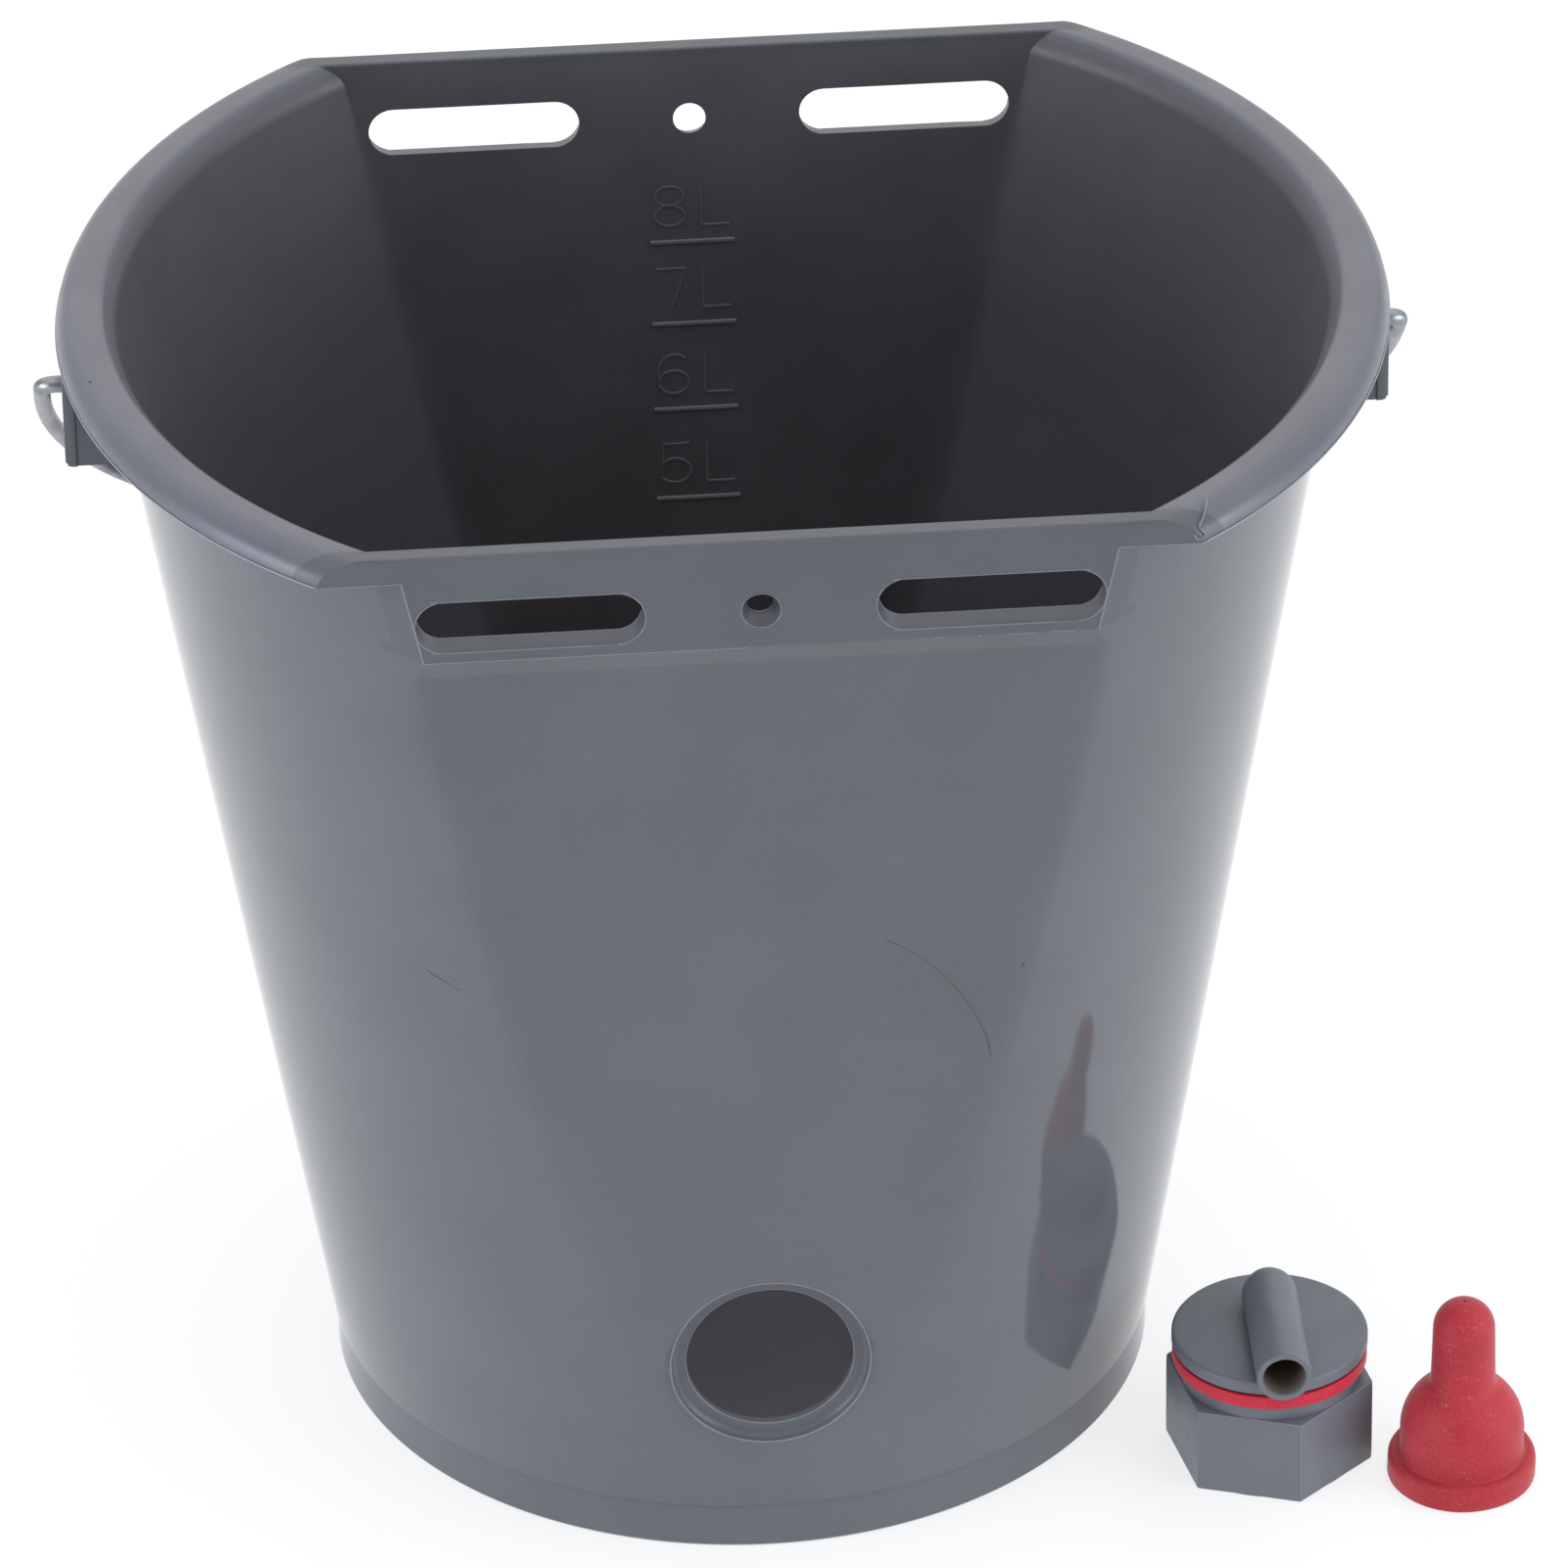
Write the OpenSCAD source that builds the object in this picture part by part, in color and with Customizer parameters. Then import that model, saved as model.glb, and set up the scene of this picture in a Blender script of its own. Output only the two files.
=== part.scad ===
// Calf feeder bucket with a wire bail, a drinking valve and a rubber teat standing beside it.
// The origin is on the floor at the centre of the bucket's foot, +Z is up and -Y is the drinking side.

/* [Bucket wall] */
// Height of the rim above the floor
height = 280; // [265:1:300]
// Outer diameter that the tapered wall would reach at the floor
wall_base_d = 188.8; // [184:0.2:190]
// Outer diameter of the tapered wall at rim height
wall_top_d = 279; // [276:0.5:281]
// Thickness of the wall
wall = 2.8; // [2.4:0.1:3.2]
// Distance of the flat sides from the centre at the floor
flat_base_y = 97; // [95:0.5:98]
// Distance of the flat sides from the centre at rim height
flat_top_y = 113; // [110:0.5:114]
// Height of the upright foot
foot_h = 12; // [8:0.5:15]
// How far the foot is set back under the wall
foot_set = 0.8; // [0.4:0.1:1.4]
// Height of the inside floor
floor_z = 19.3; // [17:0.1:24]
// Thickness of the floor
floor_t = 2.8; // [2.2:0.1:3.6]
// Radius of the corner between floor and wall inside
floor_corner_r = 6; // [3:0.5:9]

/* [Rim] */
// How far the rolled rim stands out past the wall
lip_out = 10; // [8.5:0.1:12]
// Height of the rolled rim
lip_h = 6.4; // [5.8:0.1:7]
// Thickness of the rolled rim
lip_t = 2.2; // [1.8:0.1:2.6]

/* [Hanging bands] */
// How far each band stands proud of its flat side
band_proud = 1.9; // [1.2:0.1:2.4]
// Height of each band below the rim
band_h = 27.6; // [26:0.2:30]
// Height of the sloped step under each band
band_step_h = 5.2; // [3:0.2:8]
// Radius of the two top edges of each band
band_edge_r = 1.5; // [0.8:0.1:1.8]
// Depth of the slots and the middle hole below the rim
hang_drop = 18; // [16:0.5:19]
// Distance of the slot centres from the middle
slot_x = 50.2; // [48:0.1:50.6]
// Length of each slot
slot_l = 49.8; // [44:0.2:50.4]
// Height of each slot
slot_h = 12.3; // [10:0.1:13]
// Diameter of the middle hole
hang_hole_d = 7.4; // [5:0.1:9]
// Diameter of the countersink of the middle hole
hang_sink_d = 8.8; // [8:0.1:12]
// Depth of that countersink
hang_sink_depth = 1.2; // [0.6:0.1:1.8]

/* [Teat port] */
// Height of the port's centre on the front flat side
port_z = 54.2; // [50:0.2:80]
// Diameter of the port's hole
port_d = 38.2; // [37.6:0.1:40]
// Diameter of the recess around the hole
port_recess_d = 45.3; // [43:0.1:48]
// Depth of that recess
port_recess_depth = 2.4; // [1.4:0.1:3.2]
// Thickness of the ring left in the recess
port_ring_t = 2.4; // [1.8:0.1:3.2]

/* [Ears] */
// Width of each ear
ear_w = 31; // [24:0.5:40]
// Depth of each ear below the rim
ear_drop = 29.7; // [27:0.1:36]
// Thickness of the ear's outer plate
ear_plate = 3; // [2.2:0.1:3.6]
// Thickness of the ear's side plates
ear_side = 2.5; // [1.8:0.1:3.2]
// Chamfer along the ear's lower edge
ear_chamfer = 1.2; // [0.4:0.1:2]
// Depth of the bail's pivot below the rim
pivot_drop = 18; // [16:0.5:19.5]

/* [Bail] */
// Diameter of the wire
wire_d = 3.9; // [3.2:0.1:4.6]
// Room between the ear and the arm of the bail
bail_gap = 1.8; // [1.2:0.1:3]
// Bend radius at the middle of the wire
bend_r = 3; // [2.6:0.1:4]
// Length of each arm before the bow begins
arm_l = 10; // [8:0.5:16]
// Diameter of the flattened ends behind the ears
head_d = 7; // [6:0.1:8]
// Thickness of the flattened ends
head_t = 2; // [1.2:0.1:2.4]
// Room around the wire in its hole, on each side
pin_gap = 0.4; // [0.3:0.05:0.6]
// Gap left between the hanging bail and the wall
seat_gap = 0.4; // [0.3:0.1:1]

/* [Valve nut] */
// Gap between the bucket's wall and the valve standing beside it
valve_gap = 13; // [12:0.5:40]
// Bearing of the valve, seen from above
valve_bearing = -29.5; // [-32:0.5:-24]
// Width across the flats of the nut
nut_af = 42.4; // [42:0.1:46]
// Height of the hexagon
nut_h = 21.7; // [20:0.1:24]
// Turn of the hexagon about its axis
nut_turn = -18.7; // [-30:0.1:30]
// Diameter of the collar on the hexagon
collar_d = 41.8; // [41:0.1:42]
// Height of that collar
collar_h = 3.9; // [3:0.1:6]
// Thickness of the shoulder that holds the teat's flange
shoulder_t = 4; // [3:0.1:5]
// Room around the teat in the nut's opening, on each side
teat_gap = 0.4; // [0.3:0.05:0.8]
// Room around the shank in the nut and the seal, on each side
thread_gap = 0.3; // [0.3:0.05:0.4]

/* [Valve body] */
// Outer diameter of the seal
seal_d = 44.4; // [42:0.1:46]
// Thickness of the seal
seal_t = 4.2; // [3:0.1:5]
// Radius of the seal's outer edges
seal_edge_r = 0.7; // [0.3:0.1:1.2]
// Diameter of the valve's disc
disc_d = 45.4; // [44:0.1:48]
// Thickness of the disc
disc_t = 3.2; // [2.6:0.1:4]
// Radius of the disc's upper edge
disc_edge_r = 0.8; // [0.4:0.1:1.6]
// Radius of the disc's lower edge
disc_foot_r = 0.4; // [0.2:0.1:0.6]
// Outer diameter of the threaded shank
shank_d = 36.6; // [36:0.1:37]
// Wall of the shank
shank_wall = 3.2; // [2.4:0.1:4]
// Length of the shank below the disc
shank_l = 22.9; // [20:0.1:23.6]
// Outer diameter of the intake pipe
pipe_d = 13; // [12:0.1:13.2]
// Wall of the intake pipe
pipe_wall = 1.4; // [1:0.1:1.6]
// Height of the pipe's middle above the disc
pipe_rise = 3.5; // [3.5:0.1:4.2]
// Overhang of the pipe's open end past the disc
pipe_overhang = 2.8; // [0:0.1:6]
// Length of the pipe behind the valve's axis
pipe_back = 14.8; // [12:0.1:18]
// How far the pipe lies to the right of the valve's axis
pipe_aside = 0.8; // [0:0.1:1]
// Turn of the pipe about the valve's axis
pipe_turn = -0.5; // [-5:0.5:5]

/* [Check valve] */
// Diameter of the check ball
ball_d = 10.6; // [10:0.1:11]
// Inner diameter of the ball's chamber
chamber_d = 12; // [11.8:0.1:13]
// Wall of the ball's chamber
chamber_wall = 2; // [1.4:0.1:2.6]
// Length of the chamber below the disc
chamber_l = 15; // [14:0.1:17]
// Diameter of the seat that the ball closes
seat_d = 7.6; // [6:0.1:8.4]
// Gap between the resting ball and the retainer
ball_gap = 0.1; // [0.05:0.05:0.3]
// Thickness of the retainer's rim
retainer_t = 1.6; // [1.2:0.1:2.4]
// Length of the retainer's plug inside the chamber
plug_l = 2.5; // [1.6:0.1:3]
// Diameter of the retainer's flow holes
flow_d = 2.8; // [2:0.1:3]
// Plug left outside the flow holes
flow_edge = 0.7; // [0.5:0.1:1]
// Number of flow holes
flow_count = 4; // [3:1:5]

/* [Teat] */
// Gap between the nut's corner and the teat standing beside it
teat_stand_gap = 4; // [2:0.5:20]
// Bearing of the teat from the valve, seen from above
teat_bearing = -18.8; // [-40:0.2:0]
// Height of the teat
teat_h = 47.6; // [44:0.2:60]
// Diameter of the teat's flange
teat_flange_d = 34.4; // [33:0.1:36]
// Thickness of the flange
teat_flange_t = 6.4; // [4:0.1:8]
// Radius of the flange's edges
teat_edge_r = 1; // [0.4:0.1:1.6]
// Diameter of the teat's shoulder
teat_body_d = 29.4; // [28:0.1:31]
// Height at which the shoulder begins to round over
teat_dome_z = 12.6; // [10:0.1:15]
// Diameter of the neck where it leaves the shoulder
neck_d = 15; // [14.4:0.1:18]
// Diameter of the rounded tip
tip_d = 14.3; // [12:0.1:14.4]
// Radius of the hollow between shoulder and neck
neck_corner_r = 3; // [1.5:0.1:5]
// Wall of the teat
teat_wall = 2.6; // [2:0.1:3.2]
// Diameter of the milk hole in the tip
milk_d = 1.2; // [0.8:0.1:3]

/* [Hidden] */
$fn = 96;
// Overrun of cutting shapes
over = 2;
// Steps along a quarter of the bow at which its gap to the wall is measured, and halvings of its angle
bow_steps = 300;
bow_halvings = 20;

// Tapers of the round wall and the flat sides
wall_slope = (wall_top_d - wall_base_d) / (2 * height);
wall_run = sqrt(1 + wall_slope * wall_slope);
wall_tilt = atan(wall_slope);
flat_slope = (flat_top_y - flat_base_y) / height;
flat_run = sqrt(1 + flat_slope * flat_slope);
flat_tilt = atan(flat_slope);

function wall_r(z) = wall_base_d / 2 + wall_slope * z;
function inner_r(z) = wall_r(z) - wall * wall_run;
function flat_y(z) = flat_base_y + flat_slope * z;
function inner_y(z) = flat_y(z) - wall * flat_run;
function band_y(z) = flat_y(z) + band_proud * flat_run;

// Levels of the bucket
rim_r = wall_top_d / 2 + lip_out;
rim_d = 2 * rim_r;
foot_r = wall_r(foot_h) - foot_set;
lip_z = height - lip_h;
under_z = floor_z - floor_t;
band_z = height - band_h;
step_z = band_z - band_step_h;
edge_z = height - band_edge_r;
hang_z = height - hang_drop;
pivot_z = height - pivot_drop;
ear_z = height - ear_drop;

// Middles of the rim's two arcs and of the corner inside the floor
rim_arc_r = rim_r - lip_h;
flare_r = inner_r(lip_z) + lip_h;
channel_z = lip_z + lip_h - lip_t;
corner_z = floor_z + floor_corner_r;
corner_r = inner_r(corner_z) - floor_corner_r * wall_run;

// Bail: its plan in its own plane, and the angle below level at which it rests on the wall
bail_r = rim_r + bail_gap + wire_d / 2;
pin_x = rim_r - ear_plate - pin_gap - head_t;
pin_hole_d = wire_d + 2 * pin_gap;

function wall_gap(x, y, z) = max((y - flat_y(z)) / flat_run, (norm([x, y]) - wall_r(z)) / wall_run);
function bow_point_gap(a, t, u) = wall_gap(bail_r * cos(t), u * cos(a), pivot_z - u * sin(a));
function bow_gap(a) =
    min([for (i = [0:bow_steps]) let (t = 90 * i / bow_steps) bow_point_gap(a, t, arm_l + bail_r * sin(t))]);
function settle(low, high, n) =
    let (mid = (low + high) / 2)
    n == 0 ? low
    : bow_gap(mid) > wire_d / 2 + seat_gap ? settle(mid, high, n - 1)
    : settle(low, mid, n - 1);
bail_hang = settle(0, 90, bow_halvings);

// Valve: levels, diameters that follow the shank, and where it stands
nut_ac = nut_af / cos(30);
nut_top = nut_h + collar_h;
nut_bore_d = shank_d + 2 * thread_gap;
disc_z = nut_top + seal_t;
disc_top = disc_z + disc_t;
pipe_z = disc_top + pipe_rise;
pipe_bore_d = pipe_d - 2 * pipe_wall;
pipe_front = disc_d / 2 + pipe_overhang;
chamber_end = disc_z - chamber_l;
retainer_d = chamber_d + 2 * chamber_wall;
plug_top = chamber_end + plug_l;
flow_ring_r = (chamber_d - flow_d) / 2 - flow_edge;
ball_z = plug_top + ball_gap + ball_d / 2;
valve_at = wall_r(disc_top) + valve_gap + disc_d / 2;

// Teat: middles of its arcs, and where it stands beside the valve
tip_z = teat_h - tip_d / 2;
neck_corner_z = teat_dome_z
    + sqrt(pow(teat_body_d / 2 + neck_corner_r, 2) - pow(neck_d / 2 + neck_corner_r, 2));
dome_share = (teat_body_d / 2) / (teat_body_d / 2 + neck_corner_r);
teat_at = nut_ac / 2 + teat_stand_gap + teat_flange_d / 2;

module at_valve() {
    rotate([0, 0, valve_bearing])
        translate([valve_at, 0, 0])
            rotate([0, 0, -valve_bearing])
                children();
}

module at_teat() {
    at_valve()
        rotate([0, 0, teat_bearing])
            translate([teat_at, 0, 0])
                children();
}

// Copies to both sides of the YZ plane in three dimensions, or of the upright axis in two
module both_sides() {
    children();
    mirror([1, 0, 0])
        children();
}

// Stretches an outline drawn in Y and Z across the bucket along X
module across() {
    rotate([90, 0, 90])
        linear_extrude(2 * rim_d, center = true)
            children();
}

// A disc's half section from the axis outwards, with rounded outer edges at its top and its foot
module disc_section(r, h, edge_top, edge_foot) {
    square([r - edge_foot, h / 2]);
    translate([0, h / 2])
        square([r - edge_top, h / 2]);
    translate([0, edge_foot])
        square([r, h - edge_top - edge_foot]);
    translate([r - edge_top, h - edge_top])
        quarter_disc(edge_top);
    translate([r - edge_foot, edge_foot])
        mirror([0, 1, 0])
            quarter_disc(edge_foot);
}

module quarter_disc(r) {
    intersection() {
        circle(r);
        square(r);
    }
}

// Half section of the bucket's outside: foot, tapered wall and the rounded rim, all solid
module outer_section() {
    polygon([
        [0, 0],
        [foot_r, 0],
        [foot_r, foot_h],
        [wall_r(foot_h), foot_h],
        [wall_r(lip_z), lip_z],
        [0, lip_z]
    ]);
    translate([0, lip_z])
        square([rim_arc_r, lip_h]);
    translate([rim_arc_r, lip_z])
        quarter_disc(lip_h);
}

// Half section of the hollow under the rolled rim
module channel_section() {
    intersection() {
        polygon([
            [wall_r(lip_z - over), lip_z - over],
            [rim_r, lip_z - over],
            [rim_r, channel_z],
            [wall_r(channel_z), channel_z]
        ]);
        union() {
            translate([0, lip_z - over])
                square([rim_arc_r, lip_h + over]);
            translate([rim_arc_r, lip_z - over])
                square([lip_h - lip_t, over]);
            translate([rim_arc_r, lip_z])
                circle(lip_h - lip_t);
        }
    }
}

// Half section of the inside: floor with its rounded corner, wall, and the flare into the rim
module cavity_section() {
    polygon([
        [0, floor_z],
        [corner_r, floor_z],
        [corner_r + floor_corner_r * cos(wall_tilt), corner_z - floor_corner_r * sin(wall_tilt)],
        [inner_r(lip_z), lip_z],
        [0, lip_z]
    ]);
    translate([corner_r, corner_z])
        circle(floor_corner_r);
    difference() {
        translate([0, lip_z])
            square([flare_r, lip_h + over]);
        translate([flare_r, lip_z])
            circle(lip_h);
    }
}

// Side outline of the outside: flat sides, sloped steps, bands and their rounded top edges
module outer_side() {
    arc_y = band_y(edge_z) - band_edge_r * flat_run;
    both_sides() {
        polygon([
            [0, -over],
            [flat_y(-over), -over],
            [flat_y(step_z), step_z],
            [band_y(band_z), band_z],
            [arc_y + band_edge_r * cos(flat_tilt), edge_z - band_edge_r * sin(flat_tilt)],
            [arc_y, height],
            [0, height]
        ]);
        translate([arc_y, edge_z])
            circle(band_edge_r);
    }
}

// Side outline of the inside: flat sides and their rounded top edges
module inner_side() {
    arc_y = inner_y(edge_z) + band_edge_r * flat_run;
    arc_low_z = edge_z + band_edge_r * sin(flat_tilt);
    both_sides() {
        polygon([
            [0, under_z],
            [inner_y(under_z), under_z],
            [inner_y(arc_low_z), arc_low_z],
            [0, arc_low_z]
        ]);
        difference() {
            translate([0, arc_low_z])
                square([arc_y, height + over - arc_low_z]);
            translate([arc_y, edge_z])
                circle(band_edge_r);
        }
    }
}

// Side outline that ends the rim's hollow behind the bands' end walls
module channel_side() {
    low_z = lip_z - over;
    both_sides()
        polygon([
            [0, low_z],
            [band_y(low_z) - lip_t * flat_run, low_z],
            [band_y(height) - lip_t * flat_run, height],
            [0, height]
        ]);
}

// The inside of the bucket
module cavity() {
    intersection() {
        rotate_extrude()
            cavity_section();
        across()
            inner_side();
    }
}

// The hollow inside the foot
module under_floor() {
    rotate_extrude()
        polygon([
            [0, -over],
            [foot_r - wall, -over],
            [foot_r - wall, foot_h],
            [wall_r(under_z) - wall * wall_run, under_z],
            [0, under_z]
        ]);
}

// One ear on +X: a box open below, with the wire's hole in its outer plate
module ear() {
    difference() {
        rotate([90, 0, 0])
            linear_extrude(ear_w, center = true)
                polygon([
                    [inner_r(ear_z), ear_z],
                    [rim_r - ear_chamfer, ear_z],
                    [rim_r, ear_z + ear_chamfer],
                    [rim_r, lip_z],
                    [rim_arc_r, lip_z],
                    [rim_arc_r, channel_z],
                    [inner_r(ear_z), channel_z]
                ]);
        translate([0, ear_side - ear_w / 2, ear_z - over])
            cube([rim_r - ear_plate, ear_w - 2 * ear_side, ear_drop + over]);
        translate([rim_arc_r, 0, pivot_z])
            rotate([0, 90, 0])
                cylinder(d = pin_hole_d, h = lip_h + over);
    }
}

// Places its children on the front flat side at the port, with +Z pointing out of the bucket
module at_port() {
    translate([0, -flat_y(port_z), port_z])
        rotate([90 + flat_tilt, 0, 0])
            children();
}

module port_pad() {
    at_port()
        translate([0, 0, -port_recess_depth - port_ring_t])
            cylinder(d = port_recess_d + 2 * wall, h = port_recess_depth + port_ring_t);
}

module port_cuts() {
    at_port() {
        translate([0, 0, -port_recess_depth])
            cylinder(d = port_recess_d, h = port_recess_depth + over);
        translate([0, 0, -port_recess_depth - port_ring_t - over])
            cylinder(d = port_d, h = port_recess_depth + port_ring_t + 2 * over);
    }
}

// One slot through both bands
module slot_cut() {
    half_span = (slot_l - slot_h) / 2;
    translate([slot_x, 0, hang_z])
        rotate([90, 0, 0]) {
            for (s = [-1, 1])
                translate([s * half_span, 0, 0])
                    cylinder(d = slot_h, h = rim_d, center = true);
            cube([2 * half_span, slot_h, rim_d], center = true);
        }
}

// The middle hole through both bands, with a countersink in each outer face
module hang_hole_cut() {
    translate([0, 0, hang_z]) {
        rotate([90, 0, 0])
            cylinder(d = hang_hole_d, h = rim_d, center = true);
        for (side = [90, -90])
            rotate([side, 0, 0])
                translate([0, 0, band_y(hang_z) - hang_sink_depth]) {
                    cylinder(d1 = hang_hole_d, d2 = hang_sink_d, h = hang_sink_depth);
                    translate([0, 0, hang_sink_depth])
                        cylinder(d = hang_sink_d, h = over);
                }
    }
}

// Moulded bucket, round in plan with two flat sides
module bucket_body() {
    color("dimgray")
        difference() {
            union() {
                difference() {
                    intersection() {
                        rotate_extrude()
                            outer_section();
                        across()
                            outer_side();
                    }
                    intersection() {
                        rotate_extrude()
                            channel_section();
                        across()
                            channel_side();
                    }
                }
                both_sides()
                    ear();
            }
            difference() {
                cavity();
                port_pad();
            }
            under_floor();
            port_cuts();
            both_sides()
                slot_cut();
            hang_hole_cut();
        }
}

// Wire bail, hanging behind the bucket
module bail_handle() {
    color("silver")
        translate([0, 0, pivot_z])
            rotate([-bail_hang, 0, 0]) {
                translate([0, arm_l, 0])
                    rotate_extrude(angle = 180)
                        translate([bail_r, 0])
                            circle(d = wire_d);
                both_sides() {
                    translate([bail_r, bend_r, 0])
                        rotate([-90, 0, 0])
                            cylinder(d = wire_d, h = arm_l - bend_r);
                    translate([bail_r - bend_r, bend_r, 0])
                        rotate([0, 0, -90])
                            rotate_extrude(angle = 90)
                                translate([bend_r, 0])
                                    circle(d = wire_d);
                    translate([pin_x, 0, 0])
                        rotate([0, 90, 0]) {
                            cylinder(d = wire_d, h = bail_r - bend_r - pin_x);
                            cylinder(d = head_d, h = head_t);
                        }
                }
            }
}

// Hexagon nut with a round collar and a shoulder for the teat's flange
module hex_nut() {
    color("gray")
        at_valve()
            difference() {
                union() {
                    rotate([0, 0, nut_turn])
                        cylinder(d = nut_ac, h = nut_h, $fn = 6);
                    cylinder(d = collar_d, h = nut_top);
                }
                translate([0, 0, shoulder_t])
                    cylinder(d = nut_bore_d, h = nut_top);
                translate([0, 0, -over])
                    cylinder(d = teat_body_d + 2 * teat_gap, h = shoulder_t + 2 * over);
            }
}

// Rubber ring between the nut and the disc
module valve_seal() {
    color("crimson")
        at_valve()
            translate([0, 0, nut_top])
                rotate_extrude()
                    difference() {
                        disc_section(seal_d / 2, seal_t, seal_edge_r, seal_edge_r);
                        translate([0, -over])
                            square([nut_bore_d / 2, seal_t + 2 * over]);
                    }
}

// Valve with its disc, intake pipe, threaded shank and ball chamber in one moulding
module valve_body() {
    color("gray")
        at_valve()
            difference() {
                union() {
                    translate([0, 0, disc_z])
                        rotate_extrude()
                            disc_section(disc_d / 2, disc_t, disc_edge_r, disc_foot_r);
                    translate([0, 0, disc_z - shank_l])
                        difference() {
                            cylinder(d = shank_d, h = shank_l);
                            translate([0, 0, -over])
                                cylinder(d = shank_d - 2 * shank_wall, h = shank_l + over);
                        }
                    translate([0, 0, chamber_end])
                        cylinder(d = retainer_d, h = chamber_l);
                    intake_pipe(pipe_d, 0);
                }
                translate([0, 0, chamber_end - over])
                    cylinder(d = chamber_d, h = chamber_l + over);
                translate([0, 0, disc_z - over])
                    cylinder(d = seat_d, h = pipe_z - disc_z + over);
                intake_pipe(pipe_bore_d, over);
            }
}

// The intake pipe's outside or bore: open in front, with a round closed end behind
module intake_pipe(d, overrun) {
    end_y = pipe_back - pipe_d / 2;
    translate([0, 0, pipe_z])
        rotate([0, 0, pipe_turn])
            translate([pipe_aside, end_y, 0])
                rotate([90, 0, 0])
                    rotate_extrude() {
                        square([d / 2, end_y + pipe_front + overrun]);
                        mirror([0, 1, 0])
                            quarter_disc(d / 2);
                    }
}

// Loose ball that closes the seat above it
module check_ball() {
    color("white")
        at_valve()
            translate([0, 0, ball_z])
                sphere(d = ball_d);
}

// Perforated plug pressed into the chamber's end, on which the ball rests
module ball_retainer() {
    color("gray")
        at_valve()
            difference() {
                union() {
                    translate([0, 0, chamber_end - retainer_t])
                        cylinder(d = retainer_d, h = retainer_t);
                    translate([0, 0, chamber_end])
                        cylinder(d = chamber_d, h = plug_l);
                }
                for (i = [0:flow_count - 1])
                    rotate([0, 0, 360 * i / flow_count])
                        translate([flow_ring_r, 0, chamber_end - retainer_t - over])
                            cylinder(d = flow_d, h = retainer_t + plug_l + 2 * over);
            }
}

// Half section of the teat, drawn inwards from its outside by a given wall
module teat_section(inset) {
    polygon([
        [0, 0],
        [teat_body_d / 2 - inset, 0],
        [teat_body_d / 2 - inset, teat_dome_z],
        [0, teat_dome_z]
    ]);
    polygon([
        [0, teat_dome_z],
        [neck_d / 2 - inset, teat_dome_z],
        [neck_d / 2 - inset, neck_corner_z],
        [tip_d / 2 - inset, tip_z],
        [0, tip_z]
    ]);
    intersection() {
        union() {
            translate([0, teat_dome_z])
                circle(teat_body_d / 2 - inset);
            translate([0, tip_z])
                circle(tip_d / 2 - inset);
        }
        square([teat_body_d, teat_h]);
    }
}

// The small hollow corner between the teat's shoulder and its neck
module neck_corner_section() {
    difference() {
        polygon([
            [0, teat_dome_z],
            [
                dome_share * (neck_d / 2 + neck_corner_r),
                teat_dome_z + dome_share * (neck_corner_z - teat_dome_z)
            ],
            [neck_d / 2 + neck_corner_r, neck_corner_z],
            [neck_d / 2, neck_corner_z],
            [0, neck_corner_z]
        ]);
        translate([neck_d / 2 + neck_corner_r, neck_corner_z])
            circle(neck_corner_r);
    }
}

// Hollow rubber teat with a flange, a domed shoulder and a round tip
module teat() {
    color("indianred")
        at_teat()
            rotate_extrude()
                difference() {
                    union() {
                        disc_section(teat_flange_d / 2, teat_flange_t, teat_edge_r, teat_edge_r);
                        teat_section(0);
                        neck_corner_section();
                    }
                    teat_section(teat_wall);
                    square([milk_d / 2, teat_h + over]);
                }
}

bucket_body();
bail_handle();
hex_nut();
valve_seal();
valve_body();
check_ball();
ball_retainer();
teat();
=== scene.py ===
from math import acos, atan, atan2, copysign, cos, degrees, hypot, pi, radians, sin, sqrt

import bmesh
import bpy
from mathutils import Matrix, Vector


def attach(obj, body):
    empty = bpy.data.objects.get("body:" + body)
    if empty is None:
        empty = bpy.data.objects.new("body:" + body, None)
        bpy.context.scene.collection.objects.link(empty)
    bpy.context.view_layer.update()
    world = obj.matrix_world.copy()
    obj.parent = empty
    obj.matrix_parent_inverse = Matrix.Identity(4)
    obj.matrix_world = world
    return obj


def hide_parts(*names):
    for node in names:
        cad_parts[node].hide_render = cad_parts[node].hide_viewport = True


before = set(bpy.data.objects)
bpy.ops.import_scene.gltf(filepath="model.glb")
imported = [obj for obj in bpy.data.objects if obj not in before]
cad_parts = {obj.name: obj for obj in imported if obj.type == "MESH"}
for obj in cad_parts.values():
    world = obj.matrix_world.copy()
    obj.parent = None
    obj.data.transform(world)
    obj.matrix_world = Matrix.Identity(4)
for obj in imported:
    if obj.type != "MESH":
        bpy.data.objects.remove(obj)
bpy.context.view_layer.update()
scene = bpy.context.scene

MM = 0.001
TINY = 1e-6

# Sizes of the bucket in millimetres, as in the CAD source
HEIGHT = 280.0
WALL_BASE_R, WALL_TOP_R, WALL = 94.4, 139.5, 2.8
FLAT_BASE_Y, FLAT_TOP_Y = 97.0, 113.0
FOOT_R, FOOT_H = 95.53, 12.0
FLOOR_Z, FLOOR_T, CORNER_R = 19.3, 2.8, 6.0
RIM_R, LIP_H, LIP_T = 149.5, 6.4, 2.2
BAND_PROUD, BAND_H, BAND_STEP = 1.9, 27.6, 5.2
HANG_Z, SLOT_X, SLOT_L, SLOT_H, HOLE_R = 262.0, 50.2, 49.8, 12.3, 3.7
PORT_Z, PORT_R, RECESS_R, RECESS_DEPTH, RING_T = 54.2, 19.1, 22.65, 2.4, 2.4
EAR_W, EAR_SIDE, EAR_CHAMFER = 31.0, 2.5, 1.2
PIVOT_Z, PIVOT_HOLE_R = 262.0, 2.35

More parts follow.
